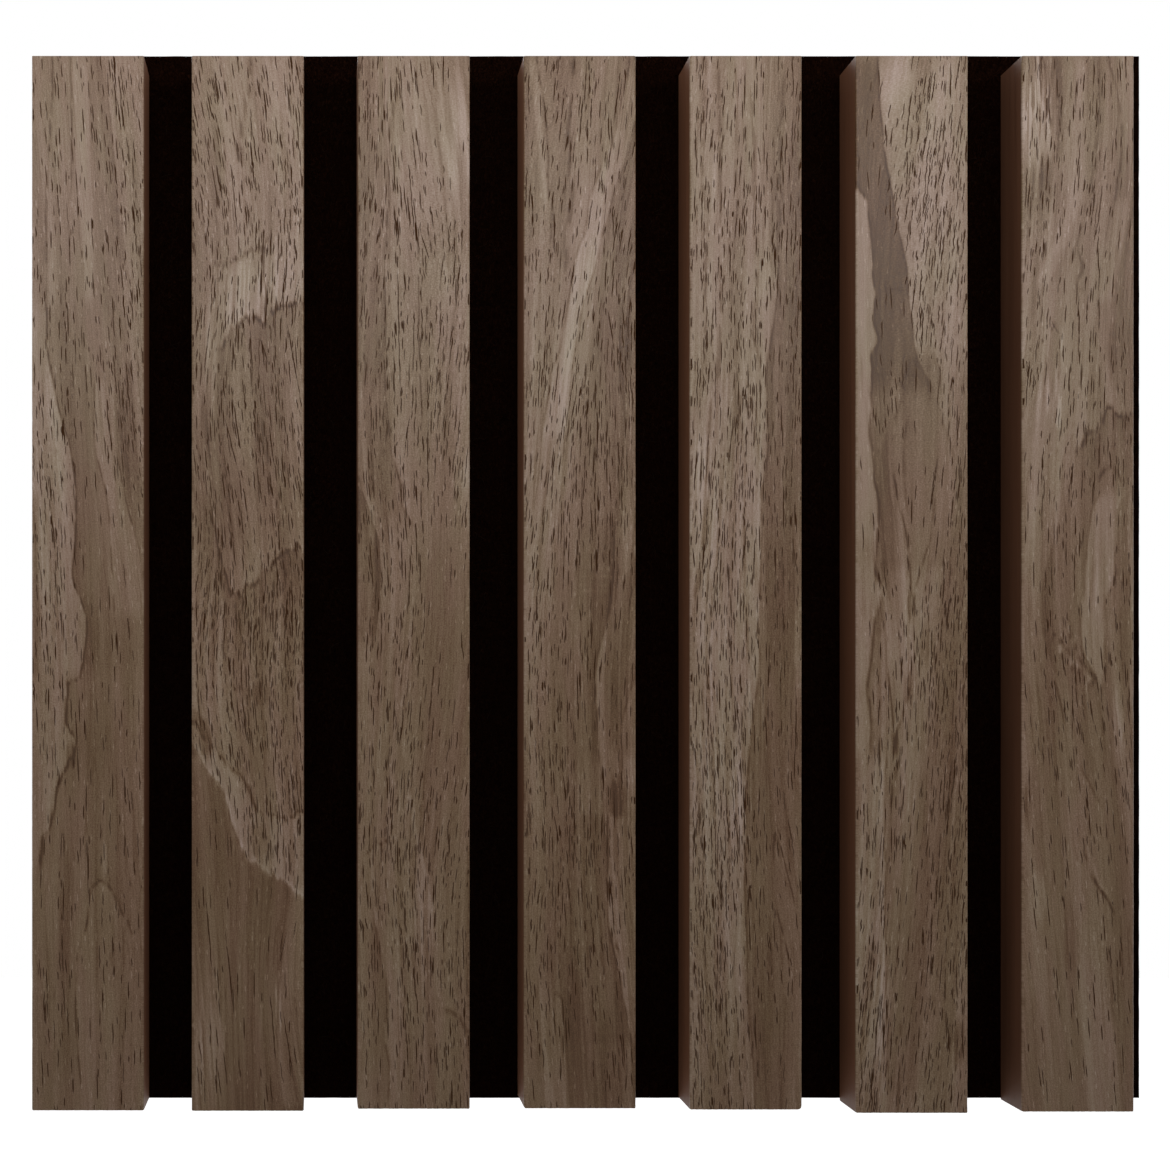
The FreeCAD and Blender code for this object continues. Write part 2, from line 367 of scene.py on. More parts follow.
def figure_2(w):
    w.grain((3, 15, 16, 50), (15, 12, 15, 35), (25, 12, 8, 50), (4, 35, 15, 70), (10, 35, 14, 40),
            (15, 35, 10, 40), (21, 35, 6, 70), (25, 35, 8, 60), (4, 58, -12, 50), (10, 56, -15, 50),
            (17, 55, -12, 50), (24, 55, -15, 50), (5, 75, -20, 40), (11, 76, 5, 40), (16, 74, 15, 40),
            (22, 74, 18, 35), (4, 95, 15, 50), (10, 95, 25, 45), (17, 93, -10, 50), (23, 95, 15, 45),
            (4, 118, -12, 50), (10, 115, 20, 40), (17, 118, 12, 40), (23, 115, 12, 50), (5, 138, -12, 90),
            (13, 138, -10, 95), (21, 138, -8, 95), (5, 163, 15, 40), (13, 158, 15, 50), (21, 165, 2, 50),
            (5, 190, 5, 10), (14, 185, 5, 30), (22, 178, 5, 60), (6, 220, 10, 20), (14, 215, -3, 15),
            (22, 215, -20, 20), (4, 240, 12, 40), (14, 240, 3, 30), (23, 238, 15, 35))
    w.crowd *= 1.15
    w.line([(14.3, 0), (13.7, 8.5), (12.6, 13), (11.8, 23.5), (13.2, 34.6), (14.3, 43)],
           -0.3, 0.7, breaks=0.2)
    w.patches(1.2, (4, 118, 7, 30, -0.12), (17, 138, 7, 18, 0.08), (3, 225, 5, 25, 0.08),
              (13, 230, 9, 34, 0.14), (14, 30, 16, 46, 0.08), (19, 46, 4, 22, 0.09),
              (25.5, 88, 4.5, 46, -0.11), (2, 242, 5, 20, 0.16), (25.5, 244, 4, 16, -0.14))
    w.patch(5.5, 27, 2, 8, -0.2, 1, 1.5)
    w.patch(21.5, 34, 3.5, 14, -0.18, 1, 1.5)
    w.patch(12, 57.5, 6.5, 7.5, 0.2, 0.6, 1.5)
    w.patch(21.8, 51.5, 5, 8.5, 0.16, 0.6, 1.5)
    w.patch(5, 66, 3, 9, 0.12, 0.7, 1.5)
    w.patch(3.2, 76, 2.4, 13, 0.12, 0.9, 1)
    w.patch(15, 110, 8, 12, -0.1, 1)
    w.line([(5, 50.5), (9, 50), (13, 47.5), (17, 45.5), (19, 44)], -0.4, 0.5, 0.3, 3)
    w.line([(17.6, 44), (17.3, 52), (18, 58), (17, 64)], -0.5, 0.35, 0.3)
    arch = [(6.3, 71.1), (7.1, 70), (8.5, 67.2), (10.4, 65.6), (15.4, 62.8), (16.8, 64.3), (18.7, 62.3),
            (20.9, 60.6), (24.3, 60), (27, 58.9)]
    w.border(arch, 0.05, -0.2, (4, 24), 0.25, 2)
    w.line(arch, -0.6, 0.5, 0.25, 2, 0.3)
    w.patch(16.8, 93, 2.2, 5, -0.2, 0.8, 2)
    w.patch(3, 91, 1.6, 8, -0.2, 0.9, 1)
    bowl = [(4, 106.3), (6.8, 120.7), (8.2, 125), (9, 129)]
    w.line(bowl, -0.55)
    w.border(bowl, -0.15, 0.05, (5, 4))
    rim = [(9, 129), (10.4, 129.5), (13.2, 128.4), (15.4, 126.8), (17.6, 124), (21, 120.7), (23, 119.8),
           (24.8, 118.7), (27, 118.2)]
    w.border(rim, 0.06, -0.18, (6, 26), 0.25, 2)
    w.line(rim, -0.55, 0.45, 0.25, 2, 0.3)
    w.line([(9.3, 152.3), (14, 152.3)], -0.3, 0.6, 0.2, 2)
    w.patches(0.9, (16.5, 154, 3.5, 2.5, -0.2), (16.5, 189, 2, 4, -0.2))
    w.zone([(-3, 157), (-3, 169)], [(0.6, 157), (3.2, 161), (4.6, 165), (4.2, 169)], -0.3, 1.2, fade=3)
    edge = [(0.6, 167), (1.5, 169), (5.4, 174.5), (7.1, 176.8), (8.5, 180.6), (9.9, 185.6), (12.9, 192.3),
            (14.8, 193.9), (19.8, 197.3), (22, 198.9), (23.7, 199.8), (25, 201)]
    edge = [(-6, 160)] + edge + [(33, 204)]
    upper = [(-6, 154), (0, 160.5), (5.1, 167), (9.4, 171.4), (13.7, 176.5), (15.4, 180.8), (18.8, 182.5),
             (22.2, 183.3), (26.5, 182.5), (33, 181)]
    w.zone(upper, edge, 0.12, 0.8, 0.25, 2, across=True)
    w.zone(edge, [(-6, 258), (33, 258)], -0.28, 0.4, 0.25, 2, 0.15, across=True)
    w.line(edge, 0.25, 0.8, 0.25, 2, 0.2, True)
    w.line(upper, -0.4, 0.4, 0.25, 2)
    w.zone([(24.4, 200), (21, 234), (22, 254)], [(30, 200), (30, 254)], 0.22, 0.8)
    w.patch(1, 240, 1.2, 8, 0.15)
    w.strokes((5.7, 7, 9), (18.3, 5, 9), (23.5, 10, 9), (25.6, 3, 5), (14.5, 17, 6), (18.2, 60, 14, -0.06),
              (10.2, 63, 6), (22.3, 58, 9), (25.5, 57, 8, -0.2), (3.3, 70, 14), (25, 73.5, 20, 0.18),
              (17.6, 71, 8, 0.33), (14.4, 72, 14), (9.3, 93, 16, 0.25), (19.5, 94, 12, 0.14), (10.5, 134, 6),
              (14.2, 137, 5), (21, 126, 6, -0.1), (25.6, 137, 8), (14.2, 143, 9), (9.7, 156, 8, 0.18),
              (12.6, 159, 12), (3.9, 212, 22), (9, 221, 23, 0.1), (11, 224, 9), (22.2, 215.5, 11, -0.22),
              (19.8, 234, 19, 0.09), (23.6, 238.5, 19, 0.16), (1.7, 240, 7), (4.2, 235, 8, 0.02),
              (8, 244, 9), (24.8, 175, 5), (5.8, 245, 9, 0.02), (19.4, 249, 8))
    for x, d in ((20.5, 228), (21.6, 229), (16.8, 232)):
        w.patch(x, d, 0.3, 5, 0.35, 0.8, 0.2)


def figure_3(w):
    w.grain((3, 10, -12, 50), (3, 40, -15, 50), (3, 70, -5, 45), (9, 15, 10, 30), (12, 35, 10, 45),
            (9, 60, 5, 40), (15, 15, 12, 35), (17, 40, 8, 40), (16, 70, -2, 40), (22, 15, -5, 25),
            (22, 45, -15, 40), (22, 70, -20, 60), (4, 92, 8, 60), (12, 92, -5, 30), (20, 90, -10, 50),
            (25, 92, -15, 60), (3, 112, 10, 30), (11, 112, 12, 60), (20, 115, 0, 20), (4, 138, -3, 40),
            (11, 135, -8, 70), (20, 140, -3, 15), (3, 162, 3, 40), (11, 158, -12, 50), (20, 160, -8, 25),
            (4, 185, 0, 50), (11, 180, -10, 60), (20, 182, -12, 40), (5, 210, 10, 50), (13, 205, 5, 80),
            (20, 205, -5, 50), (5, 235, 3, 30), (13, 230, 3, 50), (21, 230, 0, 60))
    w.zone([(-9, 120), (-9, 290)], [(36, 120), (36, 290)], -0.09, fade=60)
    w.patch(22, 16, 8, 26, 0.12, 1)
    w.patches(1.2, (4, 20, 8, 38, 0.12), (25.5, 60, 5, 34, 0.18), (2, 84, 5, 50, -0.13),
              (13.5, 206, 5, 40, 0.11))
    w.line([(9.9, 2), (7.4, 21.8), (7.1, 33), (6.3, 48.4)], -0.3, 0.6, breaks=0.2)
    w.border([(6.3, 50), (6.5, 60), (6.5, 81)], -0.12, 0.1, (7, 4))
    w.line([(6.3, 55), (6.5, 60), (6.5, 81)], -0.3)
    w.patch(23, 19, 4.2, 20, 0.17, 0.7, 1.5, 0.1)
    w.patches(0.8, (14, 30, 1.2, 20, 0.1), (3, 20, 3, 25, -0.08), (3, 111, 1.2, 5, 0.3))
    w.patches(0.9, (20, 44, 4, 5, -0.12), (4, 108, 5, 9, -0.1), (20, 135, 4, 16, -0.06),
              (4.5, 158, 1.4, 20, 0.15), (15, 205, 2.5, 12, 0.14))
    w.line([(14.6, 48), (15, 75), (15.6, 88)], -0.4, 0.2, 0.1, 3, 0.2)
    edge = [(6.8, 84), (8.2, 95.7), (10.1, 102.4), (11.2, 109), (13.2, 113)]
    w.border(edge, -0.12, 0.06, (8, 5))
    w.line(edge, -0.35, 0.35)
    left = [(0.4, 104), (2.1, 108), (3.2, 111.8), (4.6, 115.7), (5.2, 121.8), (4.9, 133), (3.8, 141)]
    w.border(left, -0.25, 0.14, (6, 3), 0.15)
    w.patch(26, 105, 1.2, 9, 0.25)
    dark = [(3.9, 209), (5, 215.5), (6.4, 221.6), (6.9, 229), (6.4, 237), (7.5, 243), (7.2, 251)]
    w.line(dark, -0.25, 0.4)
    w.border(dark, -0.08, 0.05, (4, 4))
    w.line([(11, 165), (13.5, 185), (17, 200), (18.5, 212)], 0.18, 0.5, 0.2)
    w.line([(3, 192), (3.8, 205), (4.4, 209)], 0.2, 0.35)
    w.line([(21, 229.4), (23.8, 231), (27, 235)], -0.3, 0.6, 0.2, 2)
    w.line([(1.7, 192.3), (3.3, 190.6), (5.5, 189.8), (7.5, 188.6)], -0.5, 0.16, 0, 1, 0)
    w.strokes((10.7, 11, 8), (13.6, 23, 13), (8.6, 27, 8), (14.3, 6.5, 10), (18.4, 4.5, 8), (11.4, 35, 10),
              (14, 41, 15), (16.4, 46, 7, 0.3), (25.8, 22, 4.5), (23.3, 46, 4.5, -0.3), (9.8, 66, 32),
              (13.5, 70, 14), (24, 57, 8, 0), (20.5, 64, 5, -0.3), (18, 79.5, 7), (21.8, 80, 10),
              (21.3, 90, 9), (23.9, 95, 11, -0.2), (11.7, 92, 12, -0.14), (17, 94, 19, -0.02),
              (15.3, 108, 8), (17.2, 132.7, 5.8), (15.2, 124, 12), (12.3, 128, 10), (25.6, 142, 9, 0.08),
              (17.8, 154, 13), (18, 164, 11), (3, 125, 8), (3.2, 140, 8), (15.2, 175, 6),
              (22.2, 185, 7, -0.25), (10.7, 222, 6), (12, 240, 8), (21, 212, 9))


def figure_4(w):
    w.grain((2, 15, 10, 30), (8, 15, -15, 30), (14, 15, -3, 50), (21, 15, -10, 30), (26, 25, -10, 30),
            (3, 40, 12, 40), (8, 42, -10, 40), (13, 35, -5, 30), (18, 45, -15, 40), (23, 42, -5, 60),
            (3, 70, 0, 40), (9, 68, -15, 40), (15, 65, -15, 40), (22, 68, 15, 50), (4, 92, -15, 50),
            (9, 92, -15, 60), (15, 92, -3, 80), (22, 92, 2, 50), (3, 115, -15, 50), (10, 115, 0, 60),
            (17, 115, 0, 60), (24, 112, 0, 40), (3, 140, -8, 50), (10, 140, 0, 40), (23, 140, -10, 30),
            (5, 160, 2, 50), (13, 160, 0, 30), (22, 160, 0, 30), (6, 185, 8, 50), (14, 185, 0, 50),
            (23, 185, 0, 30), (4, 205, -10, 40), (13, 208, 3, 50), (20, 210, 10, 40), (5, 235, 6, 30),
            (13, 235, 6, 20), (21, 235, 8, 30))
    w.patches(1.2, (9, 45, 7, 40, 0.12), (25.5, 142, 6, 110, -0.2), (19, 222, 4, 24, 0.16),
              (2, 108, 6, 44, 0.22), (19, 12, 5, 20, -0.09), (7.5, 190, 4, 62, -0.09), (19, 63, 4, 22, 0.11))
    w.patch(12, 240, 7, 26, -0.16, 1)
    w.zone([(0.5, 0), (4.4, 32), (5, 38)], [(2.6, 0), (5.4, 32), (5.6, 38)], 0.16, 0.8)
    w.line([(2.6, 0), (4.6, 12), (5.6, 22), (5.9, 34)], -0.35)
    w.line([(12, 0), (11.4, 12), (10.8, 22), (11.6, 33), (10.2, 44), (10, 52)], -0.3, 0.8, breaks=0.2)
    left = [(25.9, 0), (25.7, 3), (24, 9.6), (20.7, 23.5), (18.4, 27.9), (16.2, 34), (14.6, 43),
            (12.9, 47.3), (11.5, 54), (10.1, 62.3), (8.8, 70.6), (7.1, 74.4), (5.7, 81.7), (4, 92)]
    right = [(30, 4), (26.2, 19.6), (24.5, 26.3), (22.3, 31.8), (20.7, 38.4), (19, 43), (17.3, 51.2),
             (15.1, 57.3), (12.1, 71.7), (11, 79), (10.7, 84.4), (9, 98)]
    w.zone(left, right, 0.2, 0.8)
    w.patches(0.7, (22, 25, 2.6, 8, 0.12), (21, 171, 1.6, 4, 0.3))
    w.patch(9.4, 76, 2, 11, 0.12, 0.8)
    w.line(left, -0.35, 0.3)
    w.line(right, -0.35, 0.25)
    w.patches(0.9, (21.5, 70, 5, 12, -0.16), (24.5, 50, 2.2, 6, -0.15), (18, 245, 4, 12, -0.12))
    w.patch(15.5, 129, 7, 6, -0.12, 0.8, 1, 0.1)
    for place in (123, 123.8, 125.4, 127.4, 129.2):
        w.line([(11, place + 0.5), (16, place - 0.3), (21, place)], 0.14, 0.3, 0, 4, 0.6)
    edge = [(22.3, 112), (21.4, 130), (20.1, 136.7), (17.6, 148.4), (17.8, 158), (18.5, 170)]
    w.border(edge, -0.2, 0.16, (4, 3))
    w.line(edge, -0.35)
    w.patch(25.2, 112, 1.2, 10, 0.22)
    strip = [(26.9, 150), (23.9, 162.8), (24.2, 170), (23.4, 176)]
    w.border(strip, -0.05, 0.18, (3, 6))
    w.line(strip, -0.25)
    w.patch(22.4, 179, 2.2, 4.5, -0.24, 0.4, 1.2)
    side = [(20.6, 183), (20.6, 195), (20.5, 204), (20.8, 210.5), (22.4, 217), (26.5, 238)]
    w.border(side, -0.16, 0.22, (9, 12), 0.15, 2)
    w.line(side, -0.3, rag=0.1, fade=2)
    w.zone([(24, 168), (24.2, 176), (24.2, 183)], [(30, 168), (30, 183)], 0.18, 0.5)
    w.line([(20.8, 210.5), (22, 213.5), (23.5, 216)], -0.4, 0.4)
    lobe = [(9.3, 226), (9.2, 232), (9.8, 240), (10.4, 254)]
    w.border(lobe, 0.12, -0.12, (4, 5))
    w.line([(6.6, 227), (7.8, 226), (9.3, 227.5)], -0.2, 0.5, 0.1, 1)
    w.border([(3.4, 222), (4, 235), (5, 254)], -0.08, 0.1, 2)
    w.strokes((5, 14, 8, 0.13), (20.7, 17, 9, 0.04), (21.4, 18.5, 8, 0.05), (22.4, 13, 6), (14.9, 7, 12),
              (15.9, 6, 9), (13.7, 17, 6), (15.3, 24, 5), (1.7, 37, 9), (7, 43.5, 4.5),
              (21.8, 40.5, 9, 0.05), (22.6, 41, 7, 0.08), (20, 52.5, 8), (16.8, 62, 4.5),
              (21.2, 66, 11, 0.17), (22.6, 56, 5), (13.6, 90, 8), (9, 90, 12), (8.5, 98.5, 6),
              (17.8, 91, 17), (14.8, 98, 5), (14, 110, 13), (9.5, 122, 18), (11.5, 128.5, 5),
              (16.3, 112, 12, 0.05), (18.1, 118, 8), (12.9, 119, 7), (4.5, 113, 10), (2.8, 131, 14),
              (3.8, 138.5, 5), (15.4, 147, 12), (17.2, 147, 10), (1.8, 122, 5, 0.1), (6.8, 99, 8),
              (1.2, 99, 8, 0), (21.1, 200, 7), (21.8, 207.5, 9), (7.7, 186, 10, 0.2), (3.4, 202, 6, -0.2),
              (9.3, 230.5, 8), (6.5, 174, 5), (25.2, 175, 8), (19, 186, 9), (2.8, 213, 9), (9.8, 214, 5),
              (25, 246, 8, -0.05))


def figure_5(w):
    w.grain((2, 20, -2, 40), (6, 15, -10, 40), (12, 15, -5, 30), (18, 15, 5, 30), (24, 15, 0, 50),
            (3, 45, -3, 50), (13, 40, -12, 60), (18, 42, 3, 30), (24, 42, -3, 50), (3, 72, -3, 40),
            (9, 70, -2, 50), (14, 66, 3, 100), (19, 70, 0, 10), (24, 70, 0, 50), (3, 95, -5, 70),
            (8, 95, -12, 60), (14, 92, -3, 100), (22, 92, 0, 40), (3, 120, -10, 60), (9, 120, -3, 90),
            (14, 120, 0, 70), (22, 120, 2, 35), (3, 145, 0, 50), (9, 145, 0, 70), (14, 145, 2, 40),
            (22, 145, -3, 30), (4, 165, 5, 70), (10, 165, 5, 80), (20, 165, -2, 30), (4, 190, -5, 100),
            (9, 190, 5, 90), (17, 190, 0, 20), (24, 195, 15, 30), (4, 218, 5, 90), (10, 215, 3, 50),
            (18, 215, 0, 30), (24, 212, 12, 25), (4, 242, 3, 70), (10, 240, 3, 60), (18, 240, 3, 25),
            (24, 240, 0, 20))
    w.tone += 0.05
    w.patches(1.2, (10, 138, 10, 70, 0.18), (1.5, 80, 5, 120, 0.16), (19, 30, 4, 50, 0.14),
              (8, 40, 4, 50, -0.08), (14, 252, 16, 26, -0.12), (25, 31, 4, 14, -0.13), (8, 232, 4, 24, 0.12))
    w.line([(3.2, 0), (2.8, 10), (3.4, 55), (3, 80)], -0.28, 0.5, breaks=0.2)
    w.line([(6.6, 3), (7, 20), (7.2, 45), (7.4, 60), (6.4, 80)], -0.28, 0.5, breaks=0.2)
    w.line([(10.8, 2), (11.2, 12), (11, 30), (11.2, 45), (10, 60)], -0.25, 0.4, breaks=0.2)
    w.line([(15, 8), (15.6, 25), (15.4, 36), (16.2, 48), (15.2, 70)], -0.28, 0.6, breaks=0.2)
    w.line([(22.8, 5), (21.9, 22), (21.8, 38), (21.4, 50)], -0.25, 0.8, breaks=0.2)
    w.patches(0.8, (5, 18, 1.6, 24, 0.12), (9.5, 16, 1.6, 22, 0.1), (2, 98, 1.5, 10, 0.2),
              (11.5, 176, 2, 14, 0.18))
    edge = [(21.4, 50), (20.6, 62.3), (18.9, 73.3), (18.7, 85), (19, 93), (17.4, 105), (17.4, 114),
            (17.1, 122), (16.8, 133), (16.3, 138.4), (16.8, 144), (16.6, 149.5), (15.5, 156.7), (14.3, 168),
            (13.6, 174.5), (13.6, 184.5), (13.2, 203), (13.6, 215), (14, 227), (15, 240), (15.7, 256)]
    w.border(edge, 0.13, -0.16, (9, 20), 0.15, 8)
    w.line(edge, -0.3, 0.3)
    w.line([(15.8, 68), (16.6, 72), (17.6, 77)], -0.3, 0.4)
    for ring in (2.6, 4.6):
        foot = 88 + 3.5 * ring / 2
        w.line([(12.6 - ring / 2, foot), (12.6 - ring / 3, 86.5), (13.4, 88 - ring),
                (14.4 + ring / 3, 86.5), (14.6 + ring / 2, foot)], -0.3, 0.35, 0.1, 1)
    w.line([(4.7, 84), (3.8, 101), (3.5, 114), (1.9, 125), (0.6, 131)], -0.3, 0.5, breaks=0.3)
    w.line([(4.7, 125), (4.9, 140), (4, 152)], -0.28, 0.5, breaks=0.3)
    w.line([(12, 84), (13.4, 105), (13.2, 118), (12.2, 130)], -0.2, 0.5, breaks=0.3)
    w.patches(0.6, (26.5, 135, 0.9, 20, 0.2), (22.5, 193, 1.4, 5, 0.12))
    w.patch(22, 128, 4, 14, -0.08, 0.9)
    w.line([(25.2, 185), (22, 190), (20.4, 188), (20, 194)], -0.2)
    w.line([(20.9, 187), (20.2, 193)], -0.35, 0.25)
    w.line([(22.1, 190), (25.6, 204)], -0.4, 0.2, 0.05, 2, 0.3)
    w.line([(21.2, 206), (22.8, 212), (24.5, 219)], -0.4, 0.2, 0.05, 2, 0.3)
    w.strokes((5.2, 20, 7), (7.7, 9.5, 4.5), (13.2, 8.5, 11), (13.5, 18.5, 5), (13.3, 36, 9, -0.2),
              (10.8, 31, 8), (9, 40, 8), (0.9, 20, 9), (0.8, 36, 10), (24.2, 28, 8), (25.3, 6, 9),
              (26.6, 28, 5), (25.8, 42, 12), (23.7, 45, 14), (16.9, 24, 5, 0.15), (18.8, 28, 5),
              (18.9, 48, 5), (6, 61, 8), (5, 67, 7), (3.9, 68, 6), (11.9, 41, 5), (2.3, 110, 8, 0.03),
              (0.6, 121, 6, 0.08), (9.6, 95, 8), (22.9, 110, 16), (21.3, 136, 5), (19.2, 145, 8),
              (19, 150, 5), (22.2, 150, 12), (16.9, 178, 5.5), (17.1, 202, 4.5), (19, 213, 5),
              (18.6, 190, 7), (1, 222, 8), (3, 190, 5), (2, 232, 8), (21.3, 231, 5), (25.9, 160, 20))


def figure_6(w):
    w.grain((2, 10, 10, 35), (9, 8, -10, 10), (15, 10, -20, 50), (25, 12, -15, 50), (4, 30, 12, 40),
            (11, 28, -15, 60), (16, 28, -20, 100), (22, 28, -20, 80), (8, 48, 15, 45), (15, 46, -15, 80),
            (21, 46, -20, 90), (25, 48, -15, 50), (8, 65, 15, 45), (16, 62, -15, 70), (1.5, 55, 0, 0),
            (6, 80, 15, 50), (14, 80, 0, 25), (24, 80, -12, 40), (1.5, 90, 0, 0), (6, 98, 15, 30),
            (10, 105, 18, 30), (16, 108, -10, 10), (21, 105, -13, 50), (25, 100, -8, 80), (2, 112, 0, 15),
            (7, 122, 15, 50), (12, 124, 12, 40), (17, 122, -20, 40), (25, 122, -3, 70), (2, 140, 0, 3),
            (12, 142, 10, 50), (17, 142, -5, 80), (23, 140, -8, 80), (2, 160, 0, 15), (8, 158, 10, 40),
            (12, 160, -12, 50), (18, 160, -8, 40), (24, 160, -5, 80), (3, 180, 5, 40), (8, 178, 2, 40),
            (14, 182, -10, 25), (22, 180, -8, 60), (4, 205, 0, 50), (10, 205, -8, 15), (16, 205, -8, 30),
            (23, 205, -5, 70), (5, 235, -5, 90), (11, 235, -12, 30), (17, 235, -10, 50), (23, 232, 0, 60))
    w.patches(1.2, (7.5, 76, 4.5, 50, -0.17), (7.5, 156, 5, 36, 0.2), (2, 238, 8, 40, 0.18),
              (13.5, 157, 3.5, 12, -0.11))
    left = [(-0.5, 0), (-0.5, 28), (0.8, 32.9), (1.8, 34), (2.4, 37.3), (3.2, 42.3), (3.7, 48.4),
            (3.5, 51.7), (4.3, 57.3), (4, 64), (4.7, 70), (3.8, 71.3), (3.6, 76), (3.3, 82), (3.4, 84),
            (3.1, 91.3), (3.9, 97.4), (4.2, 102.4), (5, 105.5), (5, 116), (4.5, 120.7)]
    right = [(5, 0), (5.3, 8.5), (6.1, 16.8), (7.2, 26.3), (8.6, 33), (10, 40), (11.4, 46.8), (12.2, 51.7),
             (12.5, 57.3), (13.3, 62.3), (13.9, 68.4), (15.5, 74), (19, 80)]
    w.zone(left, right, -0.3, 0.45, 0.15, 8, 0.15)
    w.zone(right[:12], [(33, 0), (33, 80)], 0.14, 0.5, 0.2, 12)
    w.line(left[1:], -0.5, 0.35, 0.2)
    w.line(right[:11], -0.4, 0.3, 0.15)
    low = [(4.5, 120.7), (4.5, 124.6), (5.8, 127.3), (5.8, 131.2), (4.2, 136.2), (3.7, 141), (3.1, 146.7),
           (2.3, 152.3), (3.1, 158), (3.4, 163.3), (2.3, 170)]
    w.zone([(-1, 30), (-1, 118)], left[1:], 0.22, 0.4, 0.15, 8, 0)
    w.zone([(-1, 114), (-1, 170)], low, 0.17, 0.4, 0.15, 8, 0.05)
    w.zone([(14.3, 70), (14.3, 76)], [(19.2, 70), (19.7, 76)], -0.1, 0.6, fade=3)
    w.zone([(13.6, 71), (9, 84), (5.4, 98), (5, 124)],
           [(19.6, 72), (20.5, 85), (21.9, 90), (22.5, 105), (21, 124)], -0.12, 0.8, 0.3, 5, 0.1)
    w.line([(19.7, 72), (20.3, 80), (20.7, 87), (21.9, 90), (24.2, 97)], -0.2, 0.5)
    w.patch(9.5, 5, 4, 8, 0.1, 0.5, 1, 0)
    w.border(low, 0, -0.06, (10, 8), 0.2)
    w.line(low, -0.4, 0.4)
    w.patch(5.7, 124.5, 1.1, 2.6, -0.25, 0.7, 1.8)
    w.patch(5.4, 135, 1.2, 4.2, -0.25, 0.8, 2)
    w.line([(7.2, 84), (9.2, 88), (10.8, 84)], -0.25, 0.6)
    w.line([(9, 101), (10.4, 108), (12, 115), (13.2, 127), (13.4, 135)], -0.5, 0.3, 0.1)
    w.line([(19.8, 97), (18, 116), (16, 123), (14.2, 129), (13.5, 135)], -0.4, 0.25, 0.1)
    w.line([(12.2, 88), (11.4, 100), (12.5, 110)], -0.25, 0.3)
    w.patches(0.6, (13.4, 133, 0.9, 4, -0.3), (9.3, 166, 0.9, 3, -0.35), (12.5, 152, 1.2, 4, -0.2))
    w.patch(17, 142, 1.6, 6, -0.2, 0.9, 2)
    w.line([(7.6, 149), (8.6, 158), (9.1, 166)], -0.5, 0.22, 0.05)
    w.line([(13.2, 151), (12, 156), (9.8, 163), (9.2, 167)], -0.4, 0.35, 0.1)
    w.line([(10, 170), (9, 175), (8.3, 180)], -0.4, 0.5, 0.15)
    w.line([(7.2, 168), (6.8, 190), (7.6, 250)], -0.3, 0.25, 0.15, 5, 0.2)
    w.line([(6.2, 162), (6, 190), (6.5, 214), (5.8, 235), (6.4, 250)], 0.16, 0.5, 0.35, 5, 0.4)
    w.zone([(0.6, 168), (0.6, 215)], [(6.4, 168), (6.6, 215)], 0.14, 1)
    w.zone([(7, 172), (7, 190), (7.4, 250)], [(17, 172), (17.5, 190), (17, 250)], -0.08, 2)
    w.patch(5.8, 230, 1.6, 14, 0.18, 0.8)
    w.line([(10.8, 233), (10.2, 242), (10, 254)], -0.3, 0.4)
    w.patch(25, 238, 1.6, 5, -0.3, 0.9)
    w.strokes((17.6, 10, 12), (12.4, 17, 10), (17, 20, 12), (12.3, 28, 9, -0.05), (23.1, 6.5, 12, 0.02),
              (25.2, 17, 8), (7.2, 20, 5), (19.8, 19, 5), (22.7, 26, 5), (25.6, 25, 5), (16.6, 36, 7),
              (19.6, 41, 9, -0.1), (20.6, 45, 9, -0.1), (23, 38.5, 4.5), (26.2, 34, 5), (16.4, 46, 5),
              (26.2, 46, 7), (20.6, 53, 6), (19.2, 56, 5), (15.7, 57, 5), (21.2, 66, 6), (23.3, 69, 5),
              (18.3, 64, 5), (25, 90, 8), (12, 38, 6), (19.1, 103, 12), (21.2, 101, 8), (19.6, 118, 10),
              (23.4, 110, 9), (25.4, 103, 9), (25.4, 118, 8), (0.8, 98, 5), (3.9, 112, 6), (1.3, 116, 8),
              (21.4, 125, 9), (24.2, 132, 7), (25.3, 136, 8), (20.9, 138, 7), (18.4, 141, 8), (11.6, 138, 5),
              (14, 139, 5), (11, 147, 6), (13.3, 147, 6), (15.7, 153, 6), (19.3, 157, 7), (21.5, 154, 9),
              (24.6, 150, 9), (18.4, 174, 7), (24.2, 172, 9), (25.4, 177, 6, 0.05), (6.9, 183, 5),
              (6.2, 194, 7), (3.8, 191, 5), (5.9, 207, 7), (6.6, 210, 7), (21.9, 183, 6), (23.2, 194, 5),
              (24.1, 201, 6), (20, 197, 7), (5.4, 229, 7), (4.6, 238, 12), (6.5, 237, 12, 0),
              (7.2, 230, 6, 0.05), (22.6, 236, 12, 0.06), (24.6, 222, 8), (21.8, 225, 7), (17.6, 213, 5),
              (1, 246, 9), (3.2, 248, 9, 0.05), (17.8, 240, 6), (23.4, 250, 8))


